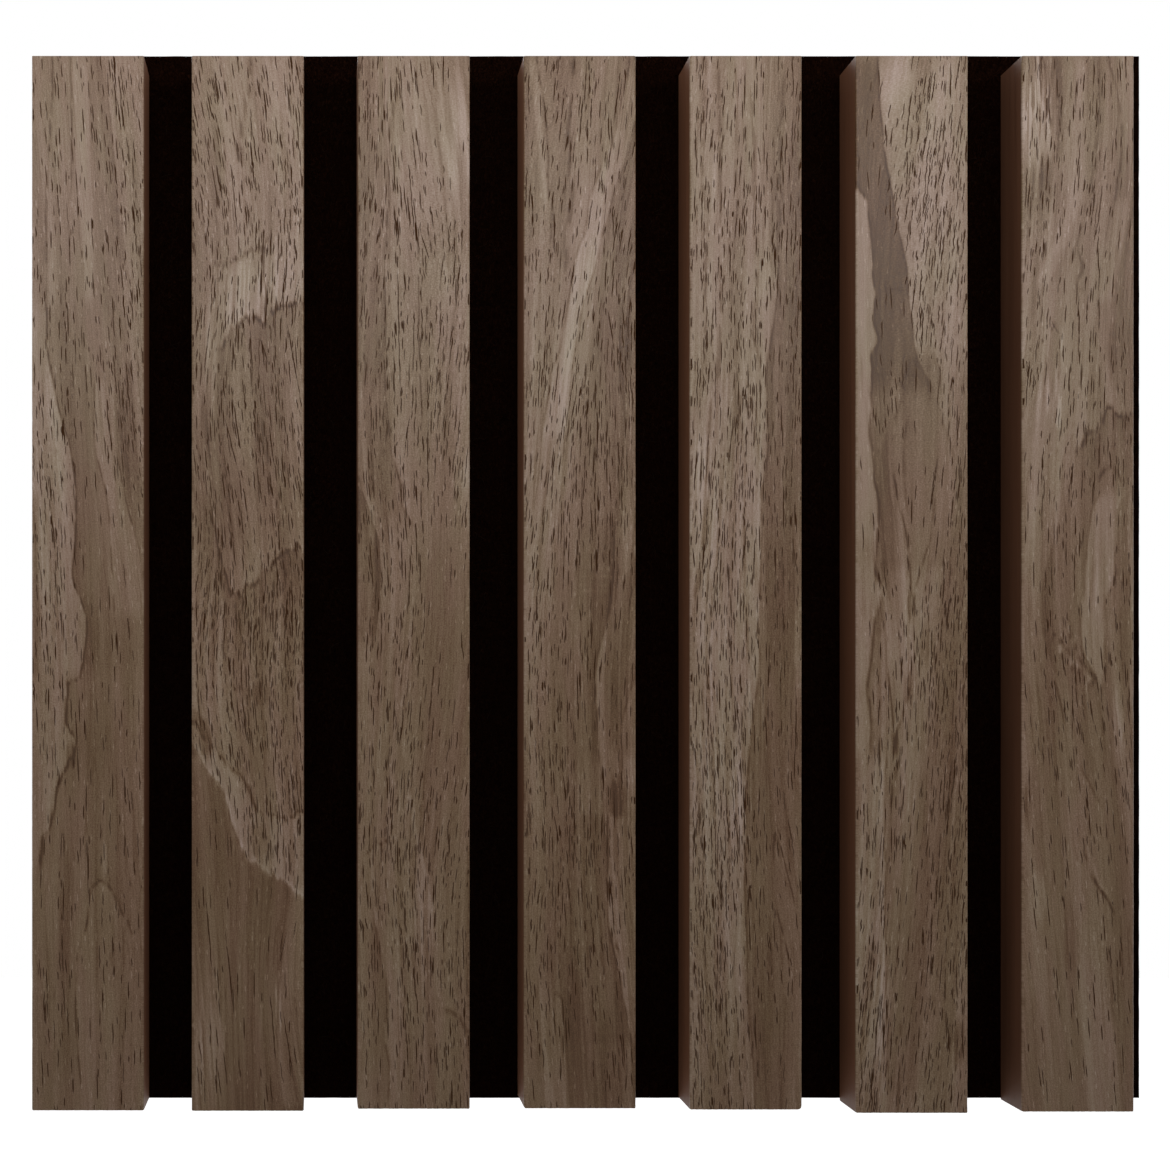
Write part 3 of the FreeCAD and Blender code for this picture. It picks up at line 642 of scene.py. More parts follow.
def figure_7(w):
    w.grain((3, 12, 0, 60), (7, 35, -6, 60), (4, 50, -8, 60), (12, 20, 0, 30), (18, 15, -8, 50),
            (24, 12, 10, 40), (14, 37, -16, 50), (19, 40, -18, 40), (24, 34, -10, 30), (5, 64, -12, 50),
            (10, 60, -5, 15), (15, 62, 2, 40), (21, 58, -12, 30), (25, 70, 15, 30), (5, 80, -10, 70),
            (12, 78, -10, 40), (19, 80, -5, 30), (4, 98, -6, 50), (20, 97, 0, 80), (24, 105, 5, 60),
            (4, 118, 0, 20), (12, 112, 0, 70), (19, 118, -8, 30), (25, 120, 0, 40), (3, 140, 5, 15),
            (10, 136, 5, 90), (17, 136, 0, 20), (24, 140, 0, 60), (6, 158, 15, 50), (12, 158, 5, 60),
            (18, 152, 20, 50), (24, 160, 5, 40), (3, 178, 3, 35), (10, 178, 5, 30), (18, 178, 15, 35),
            (24, 175, 10, 40), (3, 195, 10, 30), (16, 195, 5, 20), (24, 195, 10, 20), (5, 215, 15, 20),
            (12, 215, 5, 25), (25, 215, 5, 40), (5, 240, 10, 20), (12, 240, 10, 30), (20, 240, 8, 30))
    w.crowd *= 0.75
    w.patches(1.2, (18, 90, 9, 34, 0.12), (3, 160, 7, 40, -0.09), (2, 72, 6, 46, 0.2),
              (26, 56, 5, 32, -0.18), (19, 160, 4, 50, 0.08), (7, 10, 4, 12, -0.1), (2, 32, 4, 12, -0.11),
              (2, 244, 4, 16, -0.13))
    w.patch(3.2, 13, 4.8, 15, 0.26, 0.5, 0.8, 0.3)
    w.patch(3.2, 16, 3.2, 10, 0.22, 0.6, 0.8, 0.3)
    w.patches(0.8, (11, 22, 2.4, 14, 0.12), (6, 42, 4, 6, 0.14), (22.3, 71, 1.5, 6.5, -0.22),
              (24.5, 132, 2.6, 20, -0.08), (16.5, 138, 3.5, 13, 0.12), (23.5, 160, 1, 10, 0.2),
              (3.5, 203, 2.4, 6, 0.16))
    for k in range(14):
        x = 0.8 + 0.47 * k
        d = 9 + 7 * math.sin(2.3 * k)
        w.patch(x, d, 0.24, 5, 0.5 if k % 2 else -0.5, 0.8, 1.2)
    w.patch(4.6, 27.5, 2.4, 4, -0.2, 0.8, 2)
    w.zone([(7.8, 0), (8.2, 12), (8.2, 25)], [(9.2, 0), (9.9, 12), (9.7, 25)], -0.14, 1)
    w.zone([(13, 0), (13, 22), (11.4, 34), (2.5, 56)],
           [(15.4, 0), (15.4, 22), (14.4, 34), (10.5, 45), (6, 56)], 0.15, 1)
    w.line([(18.8, 0), (18.4, 18), (17, 30), (12, 50)], -0.28, 0.4)
    w.line([(21, 0), (24.4, 17), (24, 27), (22, 38)], -0.28, 0.4)
    w.patch(9.2, 50, 2.8, 3.4, -0.06, 0.4, 0.8, 0)
    w.line([(13.5, 46.7), (14.6, 50.6), (13.2, 55)], -0.35, 0.4)
    w.zone([(23, 34), (20.4, 46), (18.5, 60)], [(26.4, 34), (24.6, 46), (21.4, 60)], 0.16, 1)
    w.line([(1.3, 71), (6.2, 67), (7.9, 64.5)], -0.5, 0.2, 0.02, 1, 0)
    w.line([(7, 64), (8.6, 66.8)], -0.4, 0.2, 0.02, 1, 0)
    for x, d in ((9.6, 70), (8.2, 78), (9, 84), (5.8, 80)):
        w.patch(x, d, 0.5, 5, 0.25, 0.9, 0.8)
    zig = [(13, 95.2), (14.1, 94), (15.7, 91.3), (17.4, 90.2), (19.6, 88), (20.4, 85.2), (22.9, 86.3),
           (25.2, 86.6), (27, 85.8)]
    w.border(zig, 0.12, -0.14, (8, 8), 0.08, 2)
    w.line(zig, -0.55, 0.45, 0.08, 2, 0.2)
    w.line([(18.6, 102), (19.6, 100.4), (23.4, 100.6), (24.4, 102.4)], -0.4, 0.5, 0.15, 1)
    surround = [(10.5, 93), (9.6, 97.4), (8.5, 111.8), (5.8, 122), (4.4, 129), (5.2, 141.2), (6.9, 146),
                (9, 152)]
    w.border(surround, 0.06, -0.1, (8, 7), 0.2)
    inner = [(19, 105), (17.1, 109), (16.3, 114), (14.9, 128.4), (14.3, 135.6), (14.3, 141.7), (15.7, 146),
             (18, 150), (19.6, 154)]
    outer = [(27, 104), (23.6, 108), (22.9, 114), (22.7, 120.7), (21.8, 127.3), (20.4, 130), (20.2, 138.4),
             (19.6, 144), (19.3, 154)]
    w.zone(inner, outer, 0.2, 1, 0.2, 6, 0.15)
    w.line(inner, -0.25, 0.35)
    w.patch(26.8, 140, 0.8, 30, 0.16)
    for x, d in ((11.4, 138), (12.4, 141), (11.8, 146), (13.2, 147), (16.2, 150), (9, 143)):
        w.patch(x, d, 0.5, 1.3, 0.3, 0.9, 0.6)
        w.patch(x + 0.5, d + 1.4, 0.6, 1, -0.35, 0.9, 0.6)
    w.line([(5.8, 138), (12, 144), (15.5, 147), (19.6, 152)], -0.3, 0.5, 0.3, 2, 0.3, True)
    w.line([(14.1, 171), (17.2, 176.8), (19.4, 181)], -0.28, 0.3, 0.2)
    w.line([(8, 151), (9.5, 158), (10.2, 164)], -0.4, 0.3, 0.1)
    w.line([(15, 191.7), (16.2, 195), (17.7, 199), (20.5, 202.8), (22.2, 206)], -0.5, 0.35, 0.2)
    w.line([(15.8, 191.2), (17.2, 195), (18.8, 199), (21.3, 202.3)], 0.16, 0.35, 0.2)
    w.patch(1.4, 180, 0.7, 6, -0.4, 0.9, 0.8)
    w.patches(0.9, (22.5, 224, 1.6, 8, -0.16), (12, 212, 2, 8, -0.14))
    w.strokes((13, 10, 9), (18.2, 15.5, 8, -0.17), (17.5, 32, 7), (16.7, 36, 5), (23, 20, 7.5),
              (12.6, 31.5, 6.5), (13.6, 31, 5), (9.5, 30, 6.5), (3.2, 45.5, 5.5), (12.2, 48, 5),
              (13.7, 65, 17, 0.01), (15.8, 60, 6), (16.6, 68, 5), (18.8, 62, 12, 0.01), (20.2, 25, 8),
              (25.8, 24, 6), (17.5, 4, 9), (24, 4, 8), (18.5, 49, 7, 0.05), (4.6, 100, 9), (4.7, 108, 7),
              (13.5, 90, 5), (15.9, 80, 5), (12.1, 157, 18, 0), (22.2, 224, 5), (22.6, 249, 5),
              (4.6, 236, 5), (2.8, 208, 7), (1.5, 176, 12, 0), (20, 210, 8), (18, 176, 5))


FIGURES = {1: figure_1, 2: figure_2, 3: figure_3, 4: figure_4, 5: figure_5, 6: figure_6, 7: figure_7}


def new_piece(name, vertices, loops, starts):
    """An object from flat arrays: vertex places, each face corner's vertex, and where each face starts."""
    mesh = bpy.data.meshes.new(name)
    mesh.vertices.add(len(vertices))
    mesh.vertices.foreach_set("co", np.asarray(vertices, np.float32).ravel())
    mesh.loops.add(len(loops))
    mesh.loops.foreach_set("vertex_index", np.asarray(loops, np.int32))
    mesh.polygons.add(len(starts))
    mesh.polygons.foreach_set("loop_start", np.asarray(starts, np.int32))
    mesh.update(calc_edges=True)
    mesh.polygons.foreach_set("use_smooth", np.ones(len(starts), bool))
    piece = bpy.data.objects.new(name, mesh)
    bpy.context.scene.collection.objects.link(piece)
    return piece


def float_attribute(mesh, name, values):
    """Keeps one number for each vertex under a name that the materials read."""
    attribute = mesh.attributes.new(name, "FLOAT", "POINT")
    attribute.data.foreach_set("value", np.asarray(values, np.float32).ravel())


def foot_line(wood, corners):
    """How far the foot stands above its lowest line in each column: worn corners and the saw's marks."""
    x = wood.x_line
    rise = SAW_MARKS * np.abs(lattice_noise(x / 0.5, 0, wood.seed + 60))
    for radius, away in ((corners[0], x), (corners[1], x[-1] - x)):
        inside = np.clip(radius - away, 0, radius)
        rise = np.maximum(rise, radius - np.sqrt(radius**2 - inside**2))
    return rise


def drawn_wood(index, width, length):
    """The figure of one slat, with its pores."""
    wood = Wood(index, width, length)
    FIGURES[index](wood)
    wood.open_pores()
    return wood


def bake_layout(mesh, run, down, back_face):
    """Lays a veneer out for baking: its face in three columns side by side, then its ends and its back."""
    rows = len(down)
    columns = len(run)
    parts = 3
    third = np.arange(rows - 1) * parts // (rows - 1)
    start = np.array([down[np.argmax(third == part)] for part in range(parts)])
    pitch = run[-1] + 0.5
    top_at = parts * pitch
    foot_at = top_at + 1.5
    back_at = top_at + 3
    back_size = (2, 80)
    side = top_at + 5.2
    margin = 0.001
    u = np.empty((rows - 1, columns - 1, 4))
    v = np.empty_like(u)
    for corner, (below, right) in enumerate(((0, 0), (1, 0), (1, 1), (0, 1))):
        u[:, :, corner] = (third * pitch)[:, None] + run[right:columns - 1 + right][None, :]
        v[:, :, corner] = (down[below:rows - 1 + below] - start[third])[:, None]
    edge = run[1:-1]
    last = np.array([run[0], *edge[1:-1], run[-1]])
    top_u = np.tile([0.0, 1.0, 1.0, 0.0], (columns - 3, 1))
    top_v = np.stack([last[:-1], edge[:-1], edge[1:], last[1:]], axis=1)
    foot_u = np.tile([1.0, 0.0, 0.0, 1.0], (columns - 3, 1))
    foot_v = np.stack([edge[:-1], last[:-1], last[1:], edge[1:]], axis=1)
    places = np.empty((len(mesh.vertices), 3), np.float32)
    mesh.vertices.foreach_get("co", places.ravel())
    back = places[back_face]
    back_u = (back[:, 0] - back[:, 0].min()) / np.ptp(back[:, 0]) * back_size[0]
    back_v = (back[:, 2].max() - back[:, 2]) / np.ptp(back[:, 2]) * back_size[1]
    u = np.concatenate([u.ravel(), (top_at + top_u).ravel(), (foot_at + foot_u).ravel(), back_at + back_u])
    v = np.concatenate([v.ravel(), top_v.ravel(), foot_v.ravel(), back_v])
    layout = np.stack([u / side + margin, 1 - margin - v / side], axis=1)
    mesh.uv_layers.new(name="OFBake").data.foreach_set("uv", layout.astype(np.float32).ravel())


def veneer_piece(index, material):
    """One slat's face veneer as a closed solid with eased edges, open grain and the slat's own figure."""
    node = "face_veneer_%d" % index
    low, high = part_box(node)
    wood = drawn_wood(index, (high.x - low.x) / MM, (high.z - low.z) / MM)
    width = wood.x_line[-1]
    height = wood.d_line[-1]
    thickness = (high.y - low.y) / MM
    rows = len(wood.d_line)

    # The eased edges widen here and there where splinters came off
    chips = np.clip(lattice_noise(wood.d_line / 2.5, 0, wood.seed + 61) - 0.5, 0, 1)
    sway = 0.05 * lattice_noise(wood.d_line / 9, 0, wood.seed + 62)
    radius = np.minimum(ARRIS_RADIUS + sway + 0.4 * chips, 0.95 * thickness)[:, None]
    relief = PORE_DEPTH * wood.pore + STREAK_DEPTH * np.clip(0.4 - wood.tone, 0, 1)

    # Columns from left to right: back edge, eased edge, face, eased edge, back edge
    angles = (np.arange(ARRIS_STEPS) / ARRIS_STEPS * math.pi / 2)[None, :]
    arc_x = radius * (1 - np.cos(angles))
    arc_y = radius * (1 - np.sin(angles))
    turned = 2 * angles / math.pi
    face_x = radius + (width - 2 * radius) * (wood.x_line / width)[None, :]
    back = np.full((rows, 1), thickness)
    left = [np.zeros((rows, 1)), arc_x]
    right = [(width - arc_x)[:, ::-1], np.full((rows, 1), width)]
    x = np.hstack([*left, face_x, *right])
    left_y = arc_y + relief[:, :1] * turned
    right_y = arc_y + relief[:, -1:] * turned
    y = np.hstack([back, left_y, relief, right_y[:, ::-1], back])
    rise = np.interp(x, wood.x_line, foot_line(wood, FOOT_CORNERS[index]))
    down = (wood.d_line / height)[:, None] * (height - rise)
    places = np.stack([low.x + x * MM, low.y + y * MM, high.z - down * MM], axis=2)

    # The ends are strips from the face's outline back to the core, and the back is one face
    columns = x.shape[1]
    ends = places[[0, -1], 2:-2].copy()
    ends[:, :, 1] = high.y
    vertices = np.vstack([places.reshape(-1, 3), ends.reshape(-1, 3)])
    grid = np.arange(rows * columns).reshape(rows, columns)
    end_grid = rows * columns + np.arange(2 * (columns - 4)).reshape(2, columns - 4)
    top_back = np.concatenate([grid[0, :1], end_grid[0], grid[0, -1:]])
    foot_back = np.concatenate([grid[-1, :1], end_grid[1], grid[-1, -1:]])
    face = np.stack([grid[:-1, :-1], grid[1:, :-1], grid[1:, 1:], grid[:-1, 1:]], axis=2).reshape(-1, 4)
    top = np.stack([top_back[:-1], grid[0, 1:-2], grid[0, 2:-1], top_back[1:]], axis=1)
    foot = np.stack([grid[-1, 1:-2], foot_back[:-1], foot_back[1:], grid[-1, 2:-1]], axis=1)
    back_face = np.concatenate([top_back, grid[1:-1, -1], foot_back[::-1], grid[1:-1, 0][::-1]])
    quads = np.vstack([face, top, foot])
    loops = np.concatenate([quads.ravel(), back_face])
    starts = np.arange(len(quads) + 1) * 4

    piece = new_piece("veneer_face_%d" % index, vertices, loops, starts)
    run = np.concatenate([[0], np.cumsum(np.hypot(np.diff(x[rows // 2]), np.diff(y[rows // 2])))])
    bake_layout(piece.data, run, wood.d_line, back_face)
    pad = ARRIS_STEPS + 1
    for name in ("tone", "pore", "fibre", "crowd", "spacing"):
        wide = np.pad(getattr(wood, name), ((0, 0), (pad, pad)), mode="edge")
        float_attribute(piece.data, name, np.concatenate([wide.ravel(), wide[[0, -1], 2:-2].ravel()]))
    piece.data.set_sharp_from_angle(angle=math.radians(50))
    piece.data.materials.append(material)
    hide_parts(node)
    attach(piece, "root")


def spread(start, end, step):
    """Evenly spaced places from start to end, about a step apart."""
    return np.linspace(start, end, max(int(round((end - start) / step)), 1) + 1)


def merged(spans):
    """One sorted list of places from spans that meet at their ends."""
    return np.unique(np.round(np.concatenate(spans), 4))


def staple_rows():
    """Heights of the staples' crowns in millimetres, read from the staples' own mesh."""
    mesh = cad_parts["staples"].data
    heights = sorted({round(v.co.z / MM, 1) for v in mesh.vertices})
    rows = []
    for height in heights:
        if not rows or height - rows[-1][-1] > 2:
            rows.append([height])
        rows[-1].append(height)
    return [(row[0] + row[-1]) / 2 for row in rows]


def felt_places():
    """The felt's grid in millimetres, closer where it shows and at the staples, and the slats' sides."""
    low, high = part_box("felt_backing")
    slats = [[side.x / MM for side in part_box("slat_core_%d" % slat)] for slat in SLATS]
    next_lefts = [left for left, right in slats[1:]] + [high.x / MM]
    columns = []
    for (left, right), next_left in zip(slats, next_lefts):
        middle = (left + right) / 2
        stops = [left, *(middle + away for away in CROWN_COLUMNS), right]
        columns += [spread(start, end, FELT_BACK_STEP) for start, end in zip(stops, stops[1:])]
        columns.append(spread(right, next_left, FELT_FRONT_STEP))
    rows = [low.z / MM]
    for height in staple_rows():
        rows += [height + away for away in CROWN_ROWS]
    rows.append(high.z / MM)
    upwards = [spread(start, end, FELT_ROW_STEP) for start, end in zip(rows, rows[1:])]
    return merged(columns), merged(upwards), slats


def felt_lumps(x, z, wide, narrow, seed):
    """Soft lumps of two sizes."""
    coarse = lattice_noise(x / wide, z / wide, seed)
    fine = lattice_noise(x / narrow, z / narrow, seed + 1)
    return 0.6 * coarse + 0.4 * fine


def felt_depths(x, z, low, high, slats):
    """Where the felt's front and back lie: lumpy, but flat behind the slats and sunk in at the staples."""
    along_reach, across_reach = SINK_REACH
    heights = staple_rows()
    off_slat = np.full_like(x, np.inf)
    sunk = np.zeros_like(x)
    for left, right in slats:
        off_slat = np.minimum(off_slat, np.maximum(np.maximum(left - x, x - right), 0))
        for height in heights:
            along = np.maximum(np.abs(x - (left + right) / 2) - CROWN_HALF, 0) / along_reach
            across = np.abs(z - height) / across_reach
            sunk = np.maximum(sunk, smooth(1 - np.sqrt(along**2 + across**2)))
    off_slat = np.maximum(off_slat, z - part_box("slat_core_1")[1].z / MM)
    front = low.y + FRONT_LUMPS * felt_lumps(x, z, 3.2, 1.4, 901) * smooth(off_slat / 0.8)
    pulled = (STAPLE_SINK - BACK_LUMPS) * sunk
    back = high.y - BACK_LUMPS - BACK_LUMPS * felt_lumps(x, z, 4.0, 1.8, 903) - pulled
    return front, back


def drawn_in(place, low, high):
    """Places between low and high, moved a little inwards near either end."""
    inner = place + FELT_EDGE_INSET * (1 - 2 * (place - low) / (high - low))
    past = np.abs(place - (low + high) / 2) - (high - low) / 2 + FELT_EDGE_REACH
    return place + (inner - place) * (np.clip(past, 0, FELT_EDGE_REACH) / FELT_EDGE_REACH)


def felt_rings(x, z, front_rim, back_rim):
    """Rings from the front's rim to the back's, swelling roughly to the sheet's full size between them."""
    turn = 2 * math.pi * np.arange(len(x)) / len(x)
    rings = []
    for step in range(1, FELT_EDGE_STEPS):
        part = step / FELT_EDGE_STEPS
        swell = min(1.0, 4.5 * min(part, 1 - part)) ** 0.5
        rough = 0.3 + 0.3 * lattice_noise(turn * 80, 3 * step, 905)
        ring = front_rim + (back_rim - front_rim) * part
        full = np.stack([x, ring[:, 1], z], axis=1)
        rings.append(ring + (full - ring) * np.clip(swell - rough, 0, 1)[:, None])
    return rings


def felt_piece():
    """The felt as a closed sheet with soft cut edges, and the loose fibres on it."""
    low, high = (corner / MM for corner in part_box("felt_backing"))
    columns, rows, slats = felt_places()
    x, z = np.meshgrid(columns, rows)
    front, back = felt_depths(x, z, low, high, slats)
    flat_x = drawn_in(x, low.x, high.x)
    flat_z = drawn_in(z, low.z, high.z)
    sheets = [np.stack([flat_x, side, flat_z], axis=2).reshape(-1, 3) for side in (front, back)]
    height, width = x.shape
    rim = np.concatenate([
        np.arange(width),
        width * np.arange(1, height) + width - 1,
        width * (height - 1) + np.arange(width - 2, -1, -1),
        width * np.arange(height - 2, 0, -1),
    ])
    rings = felt_rings(x.ravel()[rim], z.ravel()[rim], *(sheet[rim] for sheet in sheets))
    vertices = np.vstack([*sheets, *rings]) * MM

    # Faces of the front, of the back, and of the band between each ring and the next
    grid = np.arange(width * height).reshape(height, width)
    quads = np.stack([grid[:-1, :-1], grid[:-1, 1:], grid[1:, 1:], grid[1:, :-1]], axis=2).reshape(-1, 4)
    faces = [quads, quads[:, ::-1] + width * height]
    ring = np.arange(len(rim)) + 2 * width * height
    bands = [rim, *(ring + step * len(rim) for step in range(len(rings))), rim + width * height]
    for near, far in zip(bands, bands[1:]):
        faces.append(np.stack([near, far, np.roll(far, -1), np.roll(near, -1)], axis=1))
    hairs, hair_quads = felt_hairs(columns, rows, front, slats)
    loops = np.vstack([*faces, hair_quads + len(vertices)]).ravel()
    piece = new_piece("felt_sheet", np.vstack([vertices, hairs]), loops, np.arange(len(loops) // 4) * 4)
    float_attribute(piece.data, "lint", np.repeat([0, 1], [len(vertices), len(hairs)]))
    piece.data.set_sharp_from_angle(angle=math.radians(60))
    piece.data.materials.append(felt_material())
    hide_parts("felt_backing")
    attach(piece, "root")


def felt_hairs(columns, rows, front, slats):
    """Loose fibres lying on the felt between the slats, each a thin closed prism along a bent line."""
    rng = np.random.default_rng(77)
    gaps = list(zip((right for left, right in slats), [left for left, right in slats[1:]] + [columns[-1]]))
    vertices = []
    quads = []
    for hair in range(HAIR_COUNT):
        left, right = gaps[hair % len(gaps)]
        length = rng.uniform(*HAIR_LENGTHS)
        turn = rng.uniform(0, 2 * math.pi)
        bend = rng.normal(0, 0.35, HAIR_STEPS)
        thick = rng.uniform(*HAIR_RADII)
        x = rng.uniform(left + 1.2, right - 1.2)
        z = rng.uniform(rows[0] + 3, rows[-1] - 7)
        line = []
        for step in range(HAIR_STEPS + 1):
            row = int(np.argmin(np.abs(rows - z)))
            column = int(np.argmin(np.abs(columns - x)))
            lift = 0.05 + 0.25 * math.sin(math.pi * step / HAIR_STEPS)
            line.append((x, front[row, column] - lift, z, turn))
            turn += bend[min(step, HAIR_STEPS - 1)]
            x = min(max(x + length / HAIR_STEPS * math.cos(turn), left + 0.5), right - 0.5)
            z += length / HAIR_STEPS * math.sin(turn)
        first = len(vertices)
        for x, y, z, heading in line:
            side_x = -thick * math.sin(heading)
            side_z = thick * math.cos(heading)
            vertices += [(x + side_x, y, z + side_z), (x, y - thick, z)]
            vertices += [(x - side_x, y, z - side_z), (x, y + thick, z)]
        for near in range(first, first + 4 * HAIR_STEPS, 4):
            for side, after in ((0, 1), (1, 2), (2, 3), (3, 0)):
                quads.append((near + side, near + after, near + 4 + after, near + 4 + side))
        last = first + 4 * HAIR_STEPS
        quads.append((first + 3, first + 2, first + 1, first))
        quads.append((last, last + 1, last + 2, last + 3))
    return np.array(vertices) * MM, np.array(quads)


def srgb(red, green, blue):
    """Linear colour of an ordinary 0 to 255 one."""
    parts = (red / 255, green / 255, blue / 255)
    return tuple(p / 12.92 if p <= 0.04045 else ((p + 0.055) / 1.055) ** 2.4 for p in parts)


class Graph:
    """The nodes of a material or the world, added and linked in short calls."""

    def __init__(self, owner):
        owner.use_nodes = True
        self.owner = owner
        self.nodes = owner.node_tree.nodes
        self.links = owner.node_tree.links

    def node(self, kind, inputs=(), **settings):
        """Adds a node with its settings, and feeds its inputs, which come in order or by name."""
        node = self.nodes.new(kind)
        for key, value in settings.items():
            setattr(node, key, value)
        for key, value in inputs.items() if isinstance(inputs, dict) else enumerate(inputs):
            self.feed(node.inputs[key], value)
        return node

    def feed(self, socket, value):
        """Links an output to a socket, or sets a plain value on it."""
        if isinstance(value, bpy.types.NodeSocket):
            self.links.new(value, socket)
        elif isinstance(value, tuple) and socket.type == "RGBA":
            socket.default_value = (*value, 1)
        else:
            socket.default_value = value

    def shade(self, inputs):
        """Feeds the material's own shader, and hands back its output."""
        shader = self.nodes["Principled BSDF"]
        for name, value in inputs.items():
            self.feed(shader.inputs[name], value)
        return shader.outputs[0]

    def attribute(self, name):
        return self.node("ShaderNodeAttribute", attribute_name=name).outputs["Fac"]

    def place(self):
        return self.node("ShaderNodeTexCoord").outputs["Object"]

    def normal(self, axis):
        return self.split(self.node("ShaderNodeNewGeometry").outputs["Normal"])[axis]

    def split(self, vector):
        return self.node("ShaderNodeSeparateXYZ", [vector]).outputs

    def join(self, x, y, z):
        return self.node("ShaderNodeCombineXYZ", [x, y, z]).outputs[0]

    def math(self, operation, a, b=0.0, c=0.0):
        return self.node("ShaderNodeMath", [a, b, c], operation=operation).outputs[0]

    def stretch(self, vector, scale):
        return self.node("ShaderNodeMapping", {"Vector": vector, "Scale": scale}).outputs["Vector"]

    def noise(self, vector, detail=2.0, roughness=0.5, distortion=0.0):
        inputs = {"Vector": vector, "Scale": 1.0, "Detail": detail, "Roughness": roughness,
                  "Distortion": distortion}
        return self.node("ShaderNodeTexNoise", inputs).outputs["Fac"]

    def swing(self, point, scale, detail, roughness):
        """Noise above and below 0, fine in the directions with a large scale."""
        return self.math("SUBTRACT", self.noise(self.stretch(point, scale), detail, roughness), 0.5)

    def ease(self, value, low, high, bottom=0.0, top=1.0):
        """Eases from bottom to top as value goes from low to high."""
        inputs = {"Value": value, "From Min": low, "From Max": high, "To Min": bottom, "To Max": top}
        return self.node("ShaderNodeMapRange", inputs, interpolation_type="SMOOTHSTEP").outputs["Result"]

    def ramp(self, factor, stops):
        node = self.node("ShaderNodeValToRGB", [factor])
        elements = node.color_ramp.elements
        while len(elements) < len(stops):
            elements.new(0.5)
        for element, (place, colour) in zip(elements, stops):
            element.position = place
            element.color = (*colour, 1)
        return node.outputs["Color"]

    def mix(self, factor, a, b, blend="MIX"):
        inputs = {0: factor, 6: a, 7: b}
        return self.node("ShaderNodeMix", inputs, data_type="RGBA", blend_type=blend).outputs[2]

    def bump(self, height, distance):
        return self.node("ShaderNodeBump", {"Height": height, "Distance": distance}).outputs["Normal"]

    def dashes(self, across, along, cell, half_width, half_length, density, shift):
        """Short strokes along the fibres, in millimetres, one in each cell that the density lets have one."""
        cell_width, cell_length = cell
        point = self.join(
            self.math("MULTIPLY_ADD", across, 1 / cell_width, shift),
            self.math("MULTIPLY_ADD", along, 1 / cell_length, shift),
            0.0,
        )
        cells = self.node("ShaderNodeTexVoronoi", voronoi_dimensions="2D", feature="F1")
        self.feed(cells.inputs["Vector"], point)
        self.feed(cells.inputs["Scale"], 1.0)
        away = self.node("ShaderNodeVectorMath", [point, cells.outputs["Position"]], operation="SUBTRACT")
        offset = self.split(away.outputs[0])
        chance = self.node("ShaderNodeSeparateColor", [cells.outputs["Color"]]).outputs
        length = self.math("MULTIPLY_ADD", chance["Green"], 0.8 * half_length, 0.3 * half_length)
        squares = []
        for part, cell_size, size in ((offset[0], cell_width, half_width), (offset[1], cell_length, length)):
            ratio = self.math("DIVIDE", self.math("MULTIPLY", part, cell_size), size)
            squares.append(self.math("POWER", self.math("ABSOLUTE", ratio), 2.0))
        shape = self.ease(self.math("ADD", *squares), 0.6, 1.15, 1.0, 0.0)
        present = self.math("LESS_THAN", chance["Red"], density)
        depth = self.math("MULTIPLY_ADD", chance["Blue"], 0.3, 0.7)
        return self.math("MULTIPLY", self.math("MULTIPLY", shape, present), depth)

    def white_to_camera(self, white, lit):
        """Plain white for the camera and for reflections, and the lit shader for everything else."""
        rays = self.node("ShaderNodeLightPath").outputs
        seen = rays["Is Camera Ray"]
        for ray in ("Is Glossy Ray", "Is Transmission Ray"):
            seen = self.math("MAXIMUM", seen, rays[ray])
        both = self.node("ShaderNodeMixShader", [seen, lit, white])
        output = next(node for node in self.nodes if node.type.startswith("OUTPUT"))
        self.feed(output.inputs["Surface"], both.outputs[0])


def new_material(name):
    """The nodes of a new material."""
    return Graph(bpy.data.materials.new(name))


